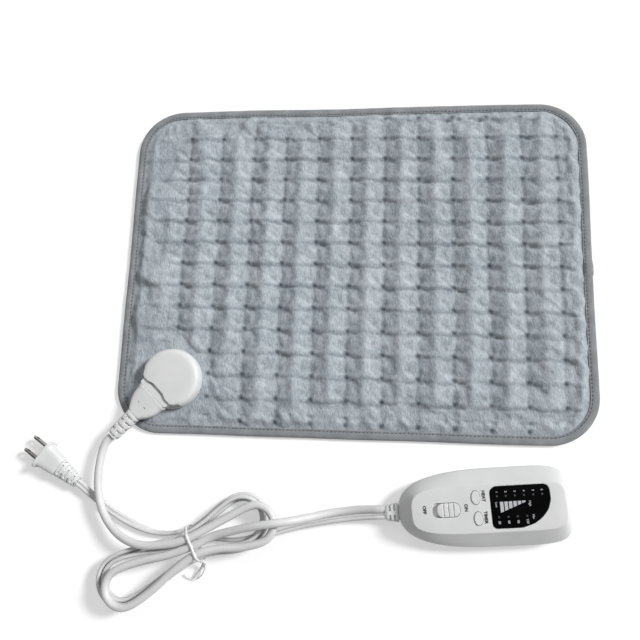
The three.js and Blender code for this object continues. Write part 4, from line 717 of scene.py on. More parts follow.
# Pad
PAD_LENGTH, PAD_WIDTH, PAD_CORNER = 400, 296, 40
TUFT_X, TUFT_Y, TUFT_SLOPE = 29.4, 19.52, -0.27
TUFT_START = (-3.0, -0.1)
FIRST_COLUMN = -5
TUFT_ROWS = ((-4, 6), (-6, 6), *[(-7, 6)] * 4, *[(-7, 7)] * 5, (-6, 6))
TACK_HEIGHT, CROWN_HEIGHT, COVER_EDGE, LINING_TOP = 6.3, 9.6, 3.1, 5.5
MOST_SHIFT = 3
BAR_REACH, BAR_SINK, BAR_SPACING = 1.3, 0.25, 0.3
SHEET_THICKNESS = 0.8
SOCKET = (-149.9, -102.8)
SOCKET_TURN = math.radians(226.2)
SEAT_RADIUS = 26.5
SPIGOT_HOLE = 7.2
CELLS_X, CELLS_Y = 12, 8
WOBBLE = 0.9
CREASE_DEPTH, CREASE_WIDTH = 1.1, 1.2
VALLEY_DEPTH, VALLEY_WIDTH = 3.4, 6.0
PUCKER_DEPTH, PUCKER_REACH = 0.45, 6.0
GATHER_DEPTH, GATHER_REACH = 2.1, 26
SWELL = 3.2
ROW_FOLD = 2.8
PIT_DEPTH, PIT_REACH = 1.3, 1.7


def tuft_place(column, row):
    return (
        TUFT_START[0] + TUFT_X * column,
        TUFT_START[1] + TUFT_Y * row + TUFT_SLOPE * column,
    )


def tuft_cell(x, y):
    """A place counted in tuft columns and rows."""
    column = (x - TUFT_START[0]) / TUFT_X
    return column, (y - TUFT_START[1] - TUFT_SLOPE * column) / TUFT_Y


def sewn_tufts():
    for k, (first, last) in enumerate(TUFT_ROWS):
        for row in range(first, last + 1):
            x, y = tuft_place(FIRST_COLUMN + k, row)
            if seat_distance(x, y) > SEAT_RADIUS:
                yield x, y


def seat_distance(x, y):
    """How far a place is from the strip that runs from the socket out over the corner."""
    dx, dy = x - SOCKET[0], y - SOCKET[1]
    ax, ay = math.cos(SOCKET_TURN), math.sin(SOCKET_TURN)
    along = max(0.0, dx * ax + dy * ay)
    return math.hypot(dx - ax * along, dy - ay * along)


def pad_inset(x, y):
    over_x = abs(x) - PAD_LENGTH / 2 + PAD_CORNER
    over_y = abs(y) - PAD_WIDTH / 2 + PAD_CORNER
    outside = math.hypot(max(over_x, 0), max(over_y, 0))
    return PAD_CORNER - outside - min(max(over_x, over_y), 0)


def pad_outline(inset, step=2.4):
    """Points round the pad, counterclockwise; every inset gives the same number of points."""
    half_x, half_y = PAD_LENGTH / 2 - PAD_CORNER, PAD_WIDTH / 2 - PAD_CORNER
    bend = round(PAD_CORNER * math.pi / 2 / step)
    points = []
    for k, (sx, sy) in enumerate(((1, 1), (-1, 1), (-1, -1), (1, -1))):
        radius = PAD_CORNER - inset
        for i in range(bend + 1):
            angle = (k + i / bend) * math.pi / 2
            points.append((sx * half_x + radius * math.cos(angle), sy * half_y + radius * math.sin(angle)))
        run = 2 * half_x if k % 2 == 0 else 2 * half_y
        parts = round(run / step)
        ahead = (-math.sin((k + 1) * math.pi / 2), math.cos((k + 1) * math.pi / 2))
        x, y = points[-1]
        points += [(x + ahead[0] * run * i / parts, y + ahead[1] * run * i / parts) for i in range(1, parts)]
    return points


def drift(x, y, size, seed):
    """A smooth chance value from about -0.5 to 0.5."""
    return noise.noise(Vector((x / size + seed, y / size - seed, seed * 1.7)))


def wobbled(x, y):
    """The sewn edge isn't quite straight: every layer of the pad is shifted alike."""
    share = ease(1 - pad_inset(x, y) / 60)
    return x + WOBBLE * share * drift(x, y, 83, 7.1), y + WOBBLE * share * drift(x, y, 83, 3.7)


def flat_sheet(inset, cells_x, cells_y, rims, hole=0.0):
    """A flat mesh of the pad's outline: places sewn in its own grid, with rims round its edge."""
    points, edges = [], []
    for row in range(-9 * cells_y, 9 * cells_y + 1):
        for column in range(-8 * cells_x, 8 * cells_x + 1):
            x, y = tuft_place(column / cells_x, row / cells_y)
            clear = math.hypot(x - SOCKET[0], y - SOCKET[1]) > hole + 1.5
            if pad_inset(x, y) > inset and clear:
                points.append((x, y))
    loops = [pad_outline(rim) for rim in rims]
    if hole:
        loops.append(ellipse(*SOCKET, hole, hole, max(20, round(hole * 2))))
    for loop in loops:
        first = len(points)
        points += loop
        edges += [(first + i, first + (i + 1) % len(loop)) for i in range(len(loop))]
    found = geometry.delaunay_2d_cdt([Vector(p) for p in points], edges, [], 1, 1e-5)
    places, faces = [tuple(v) for v in found[0]], found[2]
    if hole:
        faces = [f for f in faces if math.dist(np.mean([places[i] for i in f], axis=0), SOCKET) > hole]
    return places, faces


def sheet_object(name, points, faces):
    """A sheet of four-sided faces that all look up."""
    mesh = make_mesh(name, points, faces)
    work = bmesh.new()
    work.from_mesh(mesh)
    flat, turned = math.radians(60), math.radians(60)
    bmesh.ops.join_triangles(work, faces=work.faces, angle_face_threshold=flat, angle_shape_threshold=turned)
    bmesh.ops.recalc_face_normals(work, faces=work.faces)
    if sum(face.normal.z for face in work.faces) < 0:
        bmesh.ops.reverse_faces(work, faces=work.faces)
    work.to_mesh(mesh)
    work.free()
    return new_object(name, mesh)


def quilt_height(x, y):
    """The cover's height before its fabric is let go."""
    edge = ease((pad_inset(x, y) - 6.6) / 10)
    column, row = tuft_cell(x, y)
    near = max(abs(math.sin(math.pi * column)), abs(math.sin(math.pi * row)))
    height = mix(3.2, mix(TACK_HEIGHT, CROWN_HEIGHT - 1.6, near ** 0.8), edge)
    seat = ease((seat_distance(x, y) - SEAT_RADIUS) / 14)
    return mix(min(height, TACK_HEIGHT), height, seat)


def let_fabric_go(obj, pins, frames=16):
    """Lets the sewn cover swell between its tufts, and gives the places that it comes to."""
    group = obj.vertex_groups.new(name="pins")
    group.add(pins, 1.0, "REPLACE")
    cloth = obj.modifiers.new("cloth", "CLOTH")
    facts = cloth.settings
    facts.quality = 5
    facts.mass = 0.1
    facts.tension_stiffness = facts.compression_stiffness = 12
    facts.shear_stiffness = 4
    facts.bending_stiffness = 0.02
    facts.vertex_group_mass = "pins"
    facts.use_pressure = True
    facts.uniform_pressure_force = 3
    facts.shrink_min = -0.05
    facts.effector_weights.gravity = 0
    cloth.collision_settings.use_collision = False
    cloth.point_cache.frame_start, cloth.point_cache.frame_end = 1, frames
    for number in range(1, frames + 1):
        scene.frame_set(number)
    evaluated = obj.evaluated_get(bpy.context.evaluated_depsgraph_get())
    co = np.zeros(len(obj.data.vertices) * 3, np.float32)
    evaluated.data.vertices.foreach_get("co", co)
    obj.modifiers.remove(cloth)
    obj.vertex_groups.clear()
    scene.frame_set(1)
    return co.reshape(-1, 3)


def make_cover():
    places, faces = flat_sheet(9.2, CELLS_X, CELLS_Y, (1.6, 4.2, 6.8), SPIGOT_HOLE)
    tufts = np.array(list(sewn_tufts()))
    points = [(x, y, quilt_height(x, y)) for x, y in places]
    obj = sheet_object("pad_cover", points, faces)
    xy = np.array(places)
    nearest = np.array([np.min(np.hypot(*(tufts - p).T)) for p in xy])
    pins = [
        i for i, (x, y) in enumerate(places)
        if nearest[i] < 0.7 or pad_inset(x, y) < 7.6
        or math.hypot(x - SOCKET[0], y - SOCKET[1]) < SEAT_RADIUS
    ]
    co = let_fabric_go(obj, pins) / MM
    obj.data.vertices.foreach_set("co", (limited(co, xy) * MM).astype(np.float32).ravel())
    obj.data.update()
    refine(obj)
    crease(obj, tufts)
    thicken(obj, SHEET_THICKNESS, -1)
    shade(obj.data, 80)
    return obj


def limited(co, xy):
    """Keeps the swollen fabric within its room: over its lining, and low under the connector."""
    out = co.copy()
    for i, (x, y) in enumerate(xy):
        moved = co[i, :2] - xy[i]
        reach = np.linalg.norm(moved)
        if reach > MOST_SHIFT:
            out[i, :2] = xy[i] + moved * MOST_SHIFT / reach
        seat = ease((seat_distance(x, y) - SEAT_RADIUS) / 12)
        ceiling = mix(TACK_HEIGHT, CROWN_HEIGHT + SWELL, seat)
        knee = ceiling - 0.6 * SWELL
        if out[i, 2] > knee:
            out[i, 2] = knee + (ceiling - knee) * (1 - math.exp((knee - out[i, 2]) / (ceiling - knee)))
        floor = mix(COVER_EDGE, TACK_HEIGHT - 0.2, ease((pad_inset(x, y) - 7) / 8))
        out[i, 2] = clamp(out[i, 2], floor, ceiling)
        out[i, :2] = wobbled(*out[i, :2])
    return out


def refine(obj):
    smooth = obj.modifiers.new("smooth", "SUBSURF")
    smooth.levels = smooth.render_levels = 1
    apply_modifiers(obj)


def thicken(obj, thickness, offset):
    solid = obj.modifiers.new("solid", "SOLIDIFY")
    solid.thickness, solid.offset = thickness * MM, offset
    apply_modifiers(obj)


def fold_lines(x, y):
    """How far a place is from the fold below its tack row, and from the valley along its tuft column."""
    column, row = tuft_cell(x, y)
    line = (row + ROW_FOLD / TUFT_Y - round(row + ROW_FOLD / TUFT_Y)) * TUFT_Y + 2.6 * drift(x, y, 19, 2.3)
    between = (column - round(column)) * TUFT_X + 2.2 * drift(x, y, 23, 9.1)
    return line, between


def fold_depth(x, y, away, angle):
    """How far the tack rows, the tuft columns and the puckers draw the fabric down at a place."""
    column, row = tuft_cell(x, y)
    line, between = fold_lines(x, y)
    open_x = ease(abs(column - round(column)) * TUFT_X / 5)
    open_y = ease(abs(row - round(row)) * TUFT_Y / 5)
    uneven = clamp(0.6 + 1.8 * drift(x, y, 31, 5.9), 0, 1.3)
    depth = CREASE_DEPTH * uneven * open_x * math.exp(-(line / CREASE_WIDTH) ** 2)
    depth += 0.35 * CREASE_DEPTH * open_x * math.exp(-(line / CREASE_WIDTH / 3) ** 2)
    depth += VALLEY_DEPTH * open_y * math.exp(-math.hypot(between, 0.6) / VALLEY_WIDTH)
    rays = math.sin(5 * angle + 9 * drift(x, y, 41, 1.3)) + 0.6 * math.sin(9 * angle + 4)
    depth += PUCKER_DEPTH * rays * math.exp(-away / PUCKER_REACH) * ease(away / 2.5)
    return depth + gathers(x, y) + 0.5 * drift(x, y, 7, 4.4)


def gathers(x, y):
    """Folds that run in from the binding, aslant, as far as the first tufts."""
    core_x = clamp(x, PAD_CORNER - PAD_LENGTH / 2, PAD_LENGTH / 2 - PAD_CORNER)
    core_y = clamp(y, PAD_CORNER - PAD_WIDTH / 2, PAD_WIDTH / 2 - PAD_CORNER)
    out = Vector((x - core_x, y - core_y))
    if out.length < PAD_CORNER - GATHER_REACH:
        return 0.0
    inset = PAD_CORNER - out.length
    edge = out.normalized() * PAD_CORNER
    slant = 0.5 * inset
    wave = drift(core_x + edge.x + slant, core_y + edge.y + slant, 7.5, 3.3)
    return GATHER_DEPTH * wave * ease((GATHER_REACH - inset) / 12)


def painted_shade_share(x, y):
    """How much painted shade darkens the plush along the tack rows and beside the valleys."""
    line, between = fold_lines(x, y)
    crease_shade = clamp(0.45 + 1.5 * drift(x, y, 13, 6.1)) * ease((abs(between) - 1) / 4)
    valley_shade = 0.22 * math.exp(-((between - 1.5) / 3.2) ** 2) * clamp(0.6 + 1.5 * drift(x, y, 19, 2.9))
    return 0.32 * crease_shade * math.exp(-(line / 0.95) ** 2) + valley_shade


def crease(obj, tufts):
    mesh = obj.data
    co = np.zeros(len(mesh.vertices) * 3)
    mesh.vertices.foreach_get("co", co)
    co = co.reshape(-1, 3) / MM
    painted_shade = []
    for place in co:
        x, y, z = place
        spans = tufts - place[:2]
        reach = np.hypot(*spans.T)
        k = int(np.argmin(reach))
        away = float(reach[k])
        fade = ease((pad_inset(x, y) - 8) / 9) * ease((seat_distance(x, y) - SEAT_RADIUS + 2) / 14)
        fade *= ease(1 - (away - 20) / 16)
        depth = fold_depth(x, y, away, math.atan2(-spans[k][1], -spans[k][0]))
        tacked = ease((pad_inset(x, y) - 5) / 4)
        pit = PIT_DEPTH * tacked * math.exp(-(away / PIT_REACH) ** 2)
        place[2] = max(z - depth * fade - pit, LINING_TOP if pad_inset(x, y) > 17 else COVER_EDGE)
        # Painted shade for the plush's colour: in the tuft pits, along the tack-row creases and beside the
        # valleys
        painted_shade.append(clamp(painted_shade_share(x, y) * fade + tacked * math.exp(-(away / 2.1) ** 2)))
    mesh.vertices.foreach_set("co", (co * MM).ravel())
    mesh.attributes.new("painted_shade", "FLOAT", "POINT").data.foreach_set("value", painted_shade)
    mesh.update()


def make_underside():
    places, faces = flat_sheet(10.4, 6, 4, (1.6, 4.2, 7.0, 8.8))
    tufts = np.array(list(sewn_tufts()))

    def height(x, y):
        away = float(np.min(np.hypot(*(tufts - (x, y)).T)))
        row = tuft_cell(x, y)[1]
        line = (row - round(row)) * TUFT_Y
        lift = 0.6 * math.exp(-(away / 2.6) ** 2) + 0.25 * math.exp(-(line / 2) ** 2)
        return mix(1.1, 0.15 + lift, ease((pad_inset(x, y) - 7) / 2))
    obj = sheet_object("pad_underside", [(*wobbled(x, y), height(x, y)) for x, y in places], faces)
    thicken(obj, SHEET_THICKNESS, 1)
    refine(obj)
    shade(obj.data, 80)
    return obj


def make_felt():
    places, faces = flat_sheet(19.5, 3, 2, (18.5,), 23)
    points = [(x, y, 2.3 + 0.2 * (0.5 + drift(x, y, 19, 6.6))) for x, y in places]
    obj = sheet_object("felt_carrier", points, faces)
    thicken(obj, 0.4, 1)
    refine(obj)
    shade(obj.data, 60)
    return obj


# The binding's section, from its lower inner edge out round the pad's edge and back inside: (inset, z)
BINDING_SECTION = (
    (7.5, 0.1), (6.8, 0.0), (4.5, 0.0), (2.2, 0.05), (0.9, 0.35), (0.2, 1.0), (0.0, 2.1), (0.2, 3.1),
    (0.9, 3.8), (2.2, 4.25), (4.2, 4.45), (5.4, 4.43), (6.0, 4.4), (6.6, 4.35), (7.4, 4.2), (7.5, 3.9),
    (7.3, 3.55), (6.6, 3.5), (3.6, 3.5), (1.5, 3.35), (0.95, 2.8), (0.85, 2.1), (0.95, 1.4), (1.5, 0.9),
    (3.6, 0.8), (6.9, 0.8), (7.4, 0.6),
)
LAP_PLACE, LAP_HALF, LAP_RISE = -3.1, 6.0, 0.8
STITCH_INSET, STITCH_PITCH, STITCH_LENGTH, STITCH_TOP = 6.0, 3.3, 2.3, 4.08


def lap_rise(x, y):
    """The tape's ends overlap in the middle of the pad's right side."""
    return LAP_RISE * ease((LAP_HALF - abs(y - LAP_PLACE)) / 1.2) if x > 0 else 0.0


def ripple(x, y):
    """How the sewn tape waves up and down."""
    return 0.3 * drift(x, y, 14, 8.2) + 0.16 * drift(x, y, 4.5, 1.9)


def make_binding():
    loops = [pad_outline(inset) for inset, _ in BINDING_SECTION]
    rings = []
    for i in range(len(loops[0])):
        x, y = loops[0][i]
        wave, lap = ripple(x, y), lap_rise(x, y)
        ring = []
        for (inset, z), loop in zip(BINDING_SECTION, loops):
            # The tape's outer face waves, its lower face hardly, and the upper stitch row bites into it
            outward = 1 if inset < 7.1 and (z > 3.6 or z < 0.6 or inset < 0.5) else 0
            over = outward * (1 if z > 2 else 0.15)
            px, py = loop[i]
            bite = 0.35 * math.exp(-((inset - STITCH_INSET) / 0.7) ** 2) * (z > 3.9)
            px, py = wobbled(px, py)
            ring.append((px + lap * 0.7 * (inset < 3), py, z + over * (wave + lap) - bite))
        rings.append(ring)
    obj = new_object("pad_binding", loft("pad_binding", rings, 60, looped=True))
    finish_piece(obj, "pad", "tape", "edge_binding", slot="binding")


THREAD_SWELLS = ((0, 0.25), (0.15, 0.8), (0.5, 1), (0.85, 0.8), (1, 0.25))
THREAD_ANGLES = [-math.radians(60 * i) for i in range(6)]


def thread_bar(points, faces, start, end, width, height):
    """Adds one short stitch: a thread that dips into the cloth at both its ends."""
    start, end = np.array(start, float), np.array(end, float)
    ahead = (end - start) / np.linalg.norm(end - start)
    side = np.array([-ahead[1], ahead[0], 0])
    rings = []
    for share, swell in THREAD_SWELLS:
        middle = start + (end - start) * share
        across, up = side * width * swell / 2, np.array((0, 0, height * swell / 2))
        rings.append([tuple(middle + across * math.cos(a) + up * (1 + math.sin(a))) for a in THREAD_ANGLES])
    add_rings(points, faces, rings)


def make_binding_stitches():
    loop = [wobbled(x, y) for x, y in pad_outline(STITCH_INSET, 0.6)]
    reach = [0.0]
    for a, b in zip(loop, loop[1:] + loop[:1]):
        reach.append(reach[-1] + math.dist(a, b))
    points, faces = [], []
    count = round(reach[-1] / STITCH_PITCH)
    for k in range(count):
        start = k * reach[-1] / count
        a = loop[int(np.searchsorted(reach, start)) % len(loop)]
        b = loop[int(np.searchsorted(reach, start + STITCH_LENGTH)) % len(loop)]
        top = STITCH_TOP + ripple(*a) + lap_rise(*a)
        thread_bar(points, faces, (*a, top), (*b, top), 0.85, 0.45)
        thread_bar(points, faces, (*a, -0.02), (*b, -0.02), 0.6, 0.3)
    obj = new_object("binding_stitches", make_mesh("binding_stitches", points, faces, 70))
    finish_piece(obj, "pad", "thread", slot="binding")


def surface_height(obj, x, y):
    found, place, _, _ = obj.ray_cast(Vector((x, y, 60)) * MM, Vector((0, 0, -1)))
    return place.z / MM if found else TACK_HEIGHT


def make_tuft_threads(cover):
    points, faces = [], []
    chance = random.Random(7)
    for x, y in sewn_tufts():
        x, y = wobbled(x, y)
        turn = chance.uniform(-0.5, 0.5)
        dx, dy = BAR_REACH * math.cos(turn), BAR_REACH * math.sin(turn)
        top = surface_height(cover, x, y) - BAR_SINK
        for shift in (-BAR_SPACING, BAR_SPACING):
            ends = [(x + sign * dx, y + sign * dy + shift, top) for sign in (-1, 1)]
            thread_bar(points, faces, *ends, 0.55, 0.5)
    obj = new_object("tuft_threads", make_mesh("tuft_threads", points, faces, 70))
    finish_piece(obj, "pad", "thread", slot="plush")


pad_cover = finish_piece(make_cover(), "pad", "plush", "top_cover")
finish_piece(make_underside(), "pad", "backing", "bottom_cover", slot="plush")
finish_piece(make_felt(), "pad", "felt", "wire_carrier")
make_binding()
make_binding_stitches()
make_tuft_threads(pad_cover)


# Controller
CONTROLLER, CONTROLLER_TURN = (106.05, -196.6), math.radians(5.4)
MIDDLE, LEFT_REACH, RIGHT_REACH, HALF_WIDTH = 10, 75, 54.6, 29.2
FACE_LEFT, FACE_RIGHT, FACE_HALF_WIDTH = 65.2, 50, 17.6
HEIGHT, CEILING, SEAM, PARTING, RIM = 22, 20, 9.3, 9, 12
WALL, SLOPE_WALL, FOOT_INSET, FOOT_RISE = 2, 3.2, 4, 4
OUTLINE_COUNT = 144
RIM_SHARES = (
    (-0.07, 0), (-0.03, 0.003), (0.0, 0.014), (0.025, 0.03), (0.06, 0.06), (0.35, 0.352), (0.65, 0.652),
    (0.91, 0.91), (0.945, 0.943), (0.97, 0.967), (0.985, 0.984), (0.995, 1.004), (1, 1.03),
)
FOOT_SHARES = ((0, 1), (0.02, 0.86), (0.12, 0.55), (0.26, 0.32), (0.45, 0.17), (0.7, 0.06), (1, 0))
POSTS = [(4 + side * 42, k * (14 if side < 0 else 17)) for side in (-1, 1) for k in (-1, 1)]
POST_RADIUS, POST_BORE = 3, 1.4
SCREW_WELL, SCREW_SINK = 2.4, 2.8
BOARD_TOP = 13.6
RELIEF_CENTRE, RELIEF_X, RELIEF_LENGTH = (-0.6, 7.4), -65.0, 10
RELIEF_NECK, RELIEF_HEEL, NECK_END, HEEL_END = (5.8, 3.4), (7.2, 3.7), 3.3, 5.9
SLOT_DEPTH = 1.8
# The sleeve's rings: share of its length, and how full it is there
RELIEF_MARKS = (
    (0, 0), (0.04, 0.5), (0.1, 0.9), (0.26, 1), (0.28, 1), (0.4, 1), (0.42, 1), (0.6, 1), (0.62, 1),
    (0.74, 1), (0.76, 1), (0.96, 1), (1, 0.96),
)
BUTTON_HALF = (3.2, 5)
HEAT, TIMER = (-6.6, 8.3), (-5.9, -7.2)
CLEARANCE = 0.35
KNOB, KNOB_SIZE, KNOB_CORNER, KNOB_TRAVEL = (-27.65, 0.2), (17.1, 10.2), 4.2, 3.4
KNOB_BASE, KNOB_STEM, KNOB_FLANGE = (26, 13.5), (3, 2.6), 1.3
GROOVE_PITCH, GROOVE_HALF, GROOVE_DEPTH = 3.8, 0.7, 0.62
LENS, LENS_HALF = (26.5, 0.3), (22.2, 15.3)
LENS_SHARES = (
    (0.99, 0.21), (1, 0.45), (0.99, 0.75), (0.94, 0.91), (0.84, 0.98), (0.7, 1), (-0.68, 1), (-0.84, 0.97),
    (-0.95, 0.86), (-1, 0.66), (-1, -0.75), (-0.97, -0.9), (-0.9, -0.98), (-0.8, -1), (-0.1, -1),
    (0.08, -0.96), (0.4, -0.81), (0.67, -0.55), (0.88, -0.2),
)


def controller_ring(share, inset, z):
    """The controller's outline, from its rim at share 0 to its face at share 1."""
    left, right = mix(LEFT_REACH, FACE_LEFT, share) - inset, mix(RIGHT_REACH, FACE_RIGHT, share) - inset
    half = mix(HALF_WIDTH, FACE_HALF_WIDTH, share) - inset
    ring = []
    for i in range(OUTLINE_COUNT):
        a = (i + 0.5) * math.tau / OUTLINE_COUNT
        c, s = math.cos(a), math.sin(a)
        power = 2 / (mix(2.6, 4, clamp(share)) if c < 0 else 6)
        reach = left if c < 0 else right
        ring.append((MIDDLE + reach * bent(c, power), half * bent(s, power), z))
    return ring


def relief_opening():
    marks = (-6, RELIEF_NECK), (NECK_END, RELIEF_NECK), (NECK_END, RELIEF_HEEL), (HEEL_END + 0.3, RELIEF_HEEL)
    return loft("tool", [
        power_ring(RELIEF_X + x, RELIEF_CENTRE, (half + CLEARANCE, high + CLEARANCE), 8, 32)
        for x, (half, high) in marks
    ])


def lens_outline(margin, steps=4):
    half = LENS_HALF[0] + margin, LENS_HALF[1] + margin
    corners = [np.array((LENS[0] + half[0] * x, LENS[1] + half[1] * y)) for x, y in LENS_SHARES]
    points = []
    for i, here in enumerate(corners):
        before, after, beyond = (corners[(i + k) % len(corners)] for k in (-1, 1, 2))
        straight = np.linalg.norm(after - here) > 15
        for k in range(1 if straight else steps):
            t = k / steps
            if straight:
                points.append(tuple(here))
                continue
            spline = 0.5 * (
                2 * here + (after - before) * t + (2 * before - 5 * here + 4 * after - beyond) * t ** 2
                + (3 * here - before - 3 * after + beyond) * t ** 3
            )
            points.append(tuple(mix(here + (after - here) * t, spline, 0.6)))
    return points


def make_top_shell():
    slope = HEIGHT - RIM
    rings = [controller_ring(0, 0.12, SEAM), controller_ring(0, 0, SEAM + 0.3)]
    rings += [controller_ring(face, 0, RIM + slope * up) for up, face in RIM_SHARES]
    obj = new_object("controller_top", loft("controller_top", rings))
    inner_rim = RIM - (SLOPE_WALL - WALL) * slope / (HALF_WIDTH - FACE_HALF_WIDTH)
    inner = loft("tool", [
        controller_ring(0, WALL, SEAM - 1), controller_ring(0, WALL, inner_rim),
        controller_ring((CEILING - RIM) / slope, SLOPE_WALL, CEILING),
    ])
    posts = [round_prism("tool", x, y, POST_RADIUS, BOARD_TOP + 0.3, HEIGHT) for x, y in POSTS]
    room = new_object("room", inner)
    cut_by(room, posts)
    x, y = KNOB
    slot = rounded_box(
        x - KNOB_TRAVEL / 2, y, KNOB_SIZE[0] + KNOB_TRAVEL + 2 * CLEARANCE, KNOB_SIZE[1] + 2 * CLEARANCE,
        KNOB_CORNER + CLEARANCE,
    )
    half = BUTTON_HALF[0] + CLEARANCE, BUTTON_HALF[1] + CLEARANCE
    ovals = [ellipse(*place, *half) for place in (HEAT, TIMER)]
    holes = [prism("tool", oval, BOARD_TOP, HEIGHT + 2, 0.15, HEIGHT) for oval in ovals]
    window = prism("tool", lens_outline(0.3), CEILING - 1, HEIGHT + 2, 0.12, HEIGHT)
    cut_by(obj, [room.data])
    bpy.data.objects.remove(room)
    bores = [round_prism("tool", x, y, POST_BORE, BOARD_TOP, BOARD_TOP + 4) for x, y in POSTS]
    track = prism("tool", slot, CEILING - 1, HEIGHT + 2, 0.2, HEIGHT)
    cut_by(obj, [*bores, track, *holes, window, relief_opening()])
    return obj


def make_bottom_shell():
    rings = [controller_ring(0, FOOT_INSET * inset, FOOT_RISE * up) for up, inset in FOOT_SHARES]
    rings += [controller_ring(0, 0, PARTING - 0.3), controller_ring(0, 0.12, PARTING)]
    obj = new_object("controller_bottom", loft("controller_bottom", rings))
    inner = loft("tool", [
        controller_ring(0, WALL + FOOT_INSET / 2, WALL), controller_ring(0, WALL, WALL + FOOT_RISE / 2),
        controller_ring(0, WALL, PARTING + 1),
    ])
    posts = [round_prism("tool", x, y, POST_RADIUS, WALL / 2, RIM - 0.3) for x, y in POSTS]
    bores = [round_prism("tool", x, y, POST_BORE, -1, RIM) for x, y in POSTS]
    wells = [round_prism("tool", x, y, SCREW_WELL, -1, SCREW_SINK) for x, y in POSTS]
    cut_by(obj, [inner])
    cut_by(obj, posts, "UNION")
    cut_by(obj, [*bores, *wells, relief_opening()])
    return obj


def stacked(name, outline_at, levels, sharp=32):
    """A loft of one outline that shrinks from level to level: rows of (z, shrink)."""
    rings = [[(x, y, z) for x, y in outline_at(shrink)] for z, shrink in levels]
    return new_object(name, loft(name, rings, sharp))


def make_button(name, place):
    def outline(shrink):
        return ellipse(*place, BUTTON_HALF[0] - shrink, BUTTON_HALF[1] - shrink)
    top, low = HEIGHT + 0.7, CEILING - 0.3
    lips = [(low - 1.2, -1.3), (low, -1.3), (low, 0)]
    crown = ((0.5, 0), (0.25, 0.07), (0.08, 0.25), (0.02, 0.5), (0, 0.9), (0.1, 1.9))
    return stacked(name, outline, lips + [(top - drop, shrink) for drop, shrink in crown])


def make_knob():
    def outline(shrink):
        return rounded_box(*KNOB, KNOB_SIZE[0] - 2 * shrink, KNOB_SIZE[1] - 2 * shrink, KNOB_CORNER - shrink)
    top, flange = HEIGHT + 0.6, CEILING - 0.4
    crown = [(top - 0.45, 0), (top - 0.2, 0.07), (top - 0.05, 0.25), (top, 0.5)]
    obj = stacked("slide_knob", outline, [(flange - KNOB_FLANGE, 0)] + crown)
    base = prism("tool", rounded_box(*KNOB, *KNOB_BASE, KNOB_CORNER), flange - KNOB_FLANGE, flange)
    stem = prism("tool", rounded_box(*KNOB, *KNOB_STEM, 0.3, 3), flange - 3.5, flange - 0.5)
    cut_by(obj, [base, stem], "UNION")
    arc = [(-GROOVE_HALF * math.cos(a), -GROOVE_DEPTH * math.sin(a)) for a in np.linspace(0, math.pi, 9)]
    steps = [(-GROOVE_HALF, 0.4), *arc, (GROOVE_HALF, 0.4)]
    for x in (KNOB[0] - GROOVE_PITCH, KNOB[0], KNOB[0] + GROOVE_PITCH):
        cut_by(obj, [loft("tool", [[(x + u, KNOB[1] + y, top + v) for u, v in steps] for y in (-9, 9)])])
    return obj


def make_lens():
    def outline(shrink):
        return lens_outline(-shrink)
    levels = [(CEILING, 0), (HEIGHT - 0.35, 0), (HEIGHT - 0.16, 0.1), (HEIGHT - 0.1, 0.3)]
    return stacked("window_lens", outline, levels)


def make_relief():
    """A sleeve for both cords, with two rings of slots; share runs from its outer end to the shell."""
    rings = []
    for share, full in RELIEF_MARKS:
        x = RELIEF_X - 0.3 - RELIEF_LENGTH * (1 - share)
        halves = mix(5.6, 7.25, share) * mix(0.86, 1, full), 4.3 * mix(0.86, 1, full)
        slotted = 0.27 < share < 0.41 or 0.61 < share < 0.75

        def dent(a, slotted=slotted):
            web = clamp((abs(math.sin(a)) - 0.2) / 0.1) * clamp((abs(math.cos(a)) - 0.03) / 0.04)
            return SLOT_DEPTH * slotted * web
        rings.append(power_ring(x, RELIEF_CENTRE, halves, 5, 120, dent))
    marks = (-0.3, RELIEF_NECK), (NECK_END, RELIEF_NECK), (NECK_END, RELIEF_HEEL), (HEEL_END, RELIEF_HEEL)
    for x, halves in marks:
        rings.append(power_ring(RELIEF_X + x, RELIEF_CENTRE, halves, 8, 120))
    return new_object("lead_relief", loft("lead_relief", rings, 32))


control_place = {"centre": CONTROLLER, "angle": CONTROLLER_TURN}
finish_piece(make_top_shell(), *plain, "controller_top_shell", **control_place)
finish_piece(make_bottom_shell(), *plain, "controller_bottom_shell", **control_place)
for name, place, body in (("heat_key", HEAT, "heat_button"), ("timer_key", TIMER, "timer_button")):
    finish_piece(make_button(name, place), body, "white_plastic", body + "_cap", **control_place)
finish_piece(make_knob(), "power_slider", "white_plastic", "power_knob", **control_place)
finish_piece(make_lens(), "control_lead", "window", "display_window", slot="dark_window", **control_place)
finish_piece(make_relief(), *plain, "controller_strain_relief", **control_place)


# Words, numbers and marks: thin printed meshes
PRINT_LIFT, PRINT_DEPTH = 0.02, 0.04
WEDGE = ((11, 4.2, -3.8), (30.8, 4.3, 3.6))
WEDGE_BARS = 6
MARK_LEVEL = HEIGHT - 0.1
LEVEL_PLACES, TIMER_PLACES = (9.5, 16.2, 22.9, 29.7, 36.5, 43.1), (9.4, 16.4, 23.2, 30.2)
DOT_RADIUS = 0.75


def word(points, faces, body, place, height, weight, lift):
    """Adds one word as a thin solid; its capitals are as high as given, and its middle is at the place."""
    curve = bpy.data.curves.new("word", "FONT")
    curve.body, curve.size, curve.extrude = body, height * 1.37, PRINT_DEPTH / 2
    curve.offset, curve.resolution_u = weight * height, 3
    curve.align_x = curve.align_y = "CENTER"
    shape = new_object("word", curve)
    mesh = bpy.data.meshes.new_from_object(shape.evaluated_get(bpy.context.evaluated_depsgraph_get()))
    first = len(points)
    for vertex in mesh.vertices:
        x, y, z = turned(vertex.co, place, -math.pi / 2)
        points.append((x, y, lift + PRINT_LIFT + PRINT_DEPTH / 2 + z))
    faces += [tuple(first + i for i in face.vertices) for face in mesh.polygons]
    bpy.data.objects.remove(shape)
    bpy.data.curves.remove(curve)


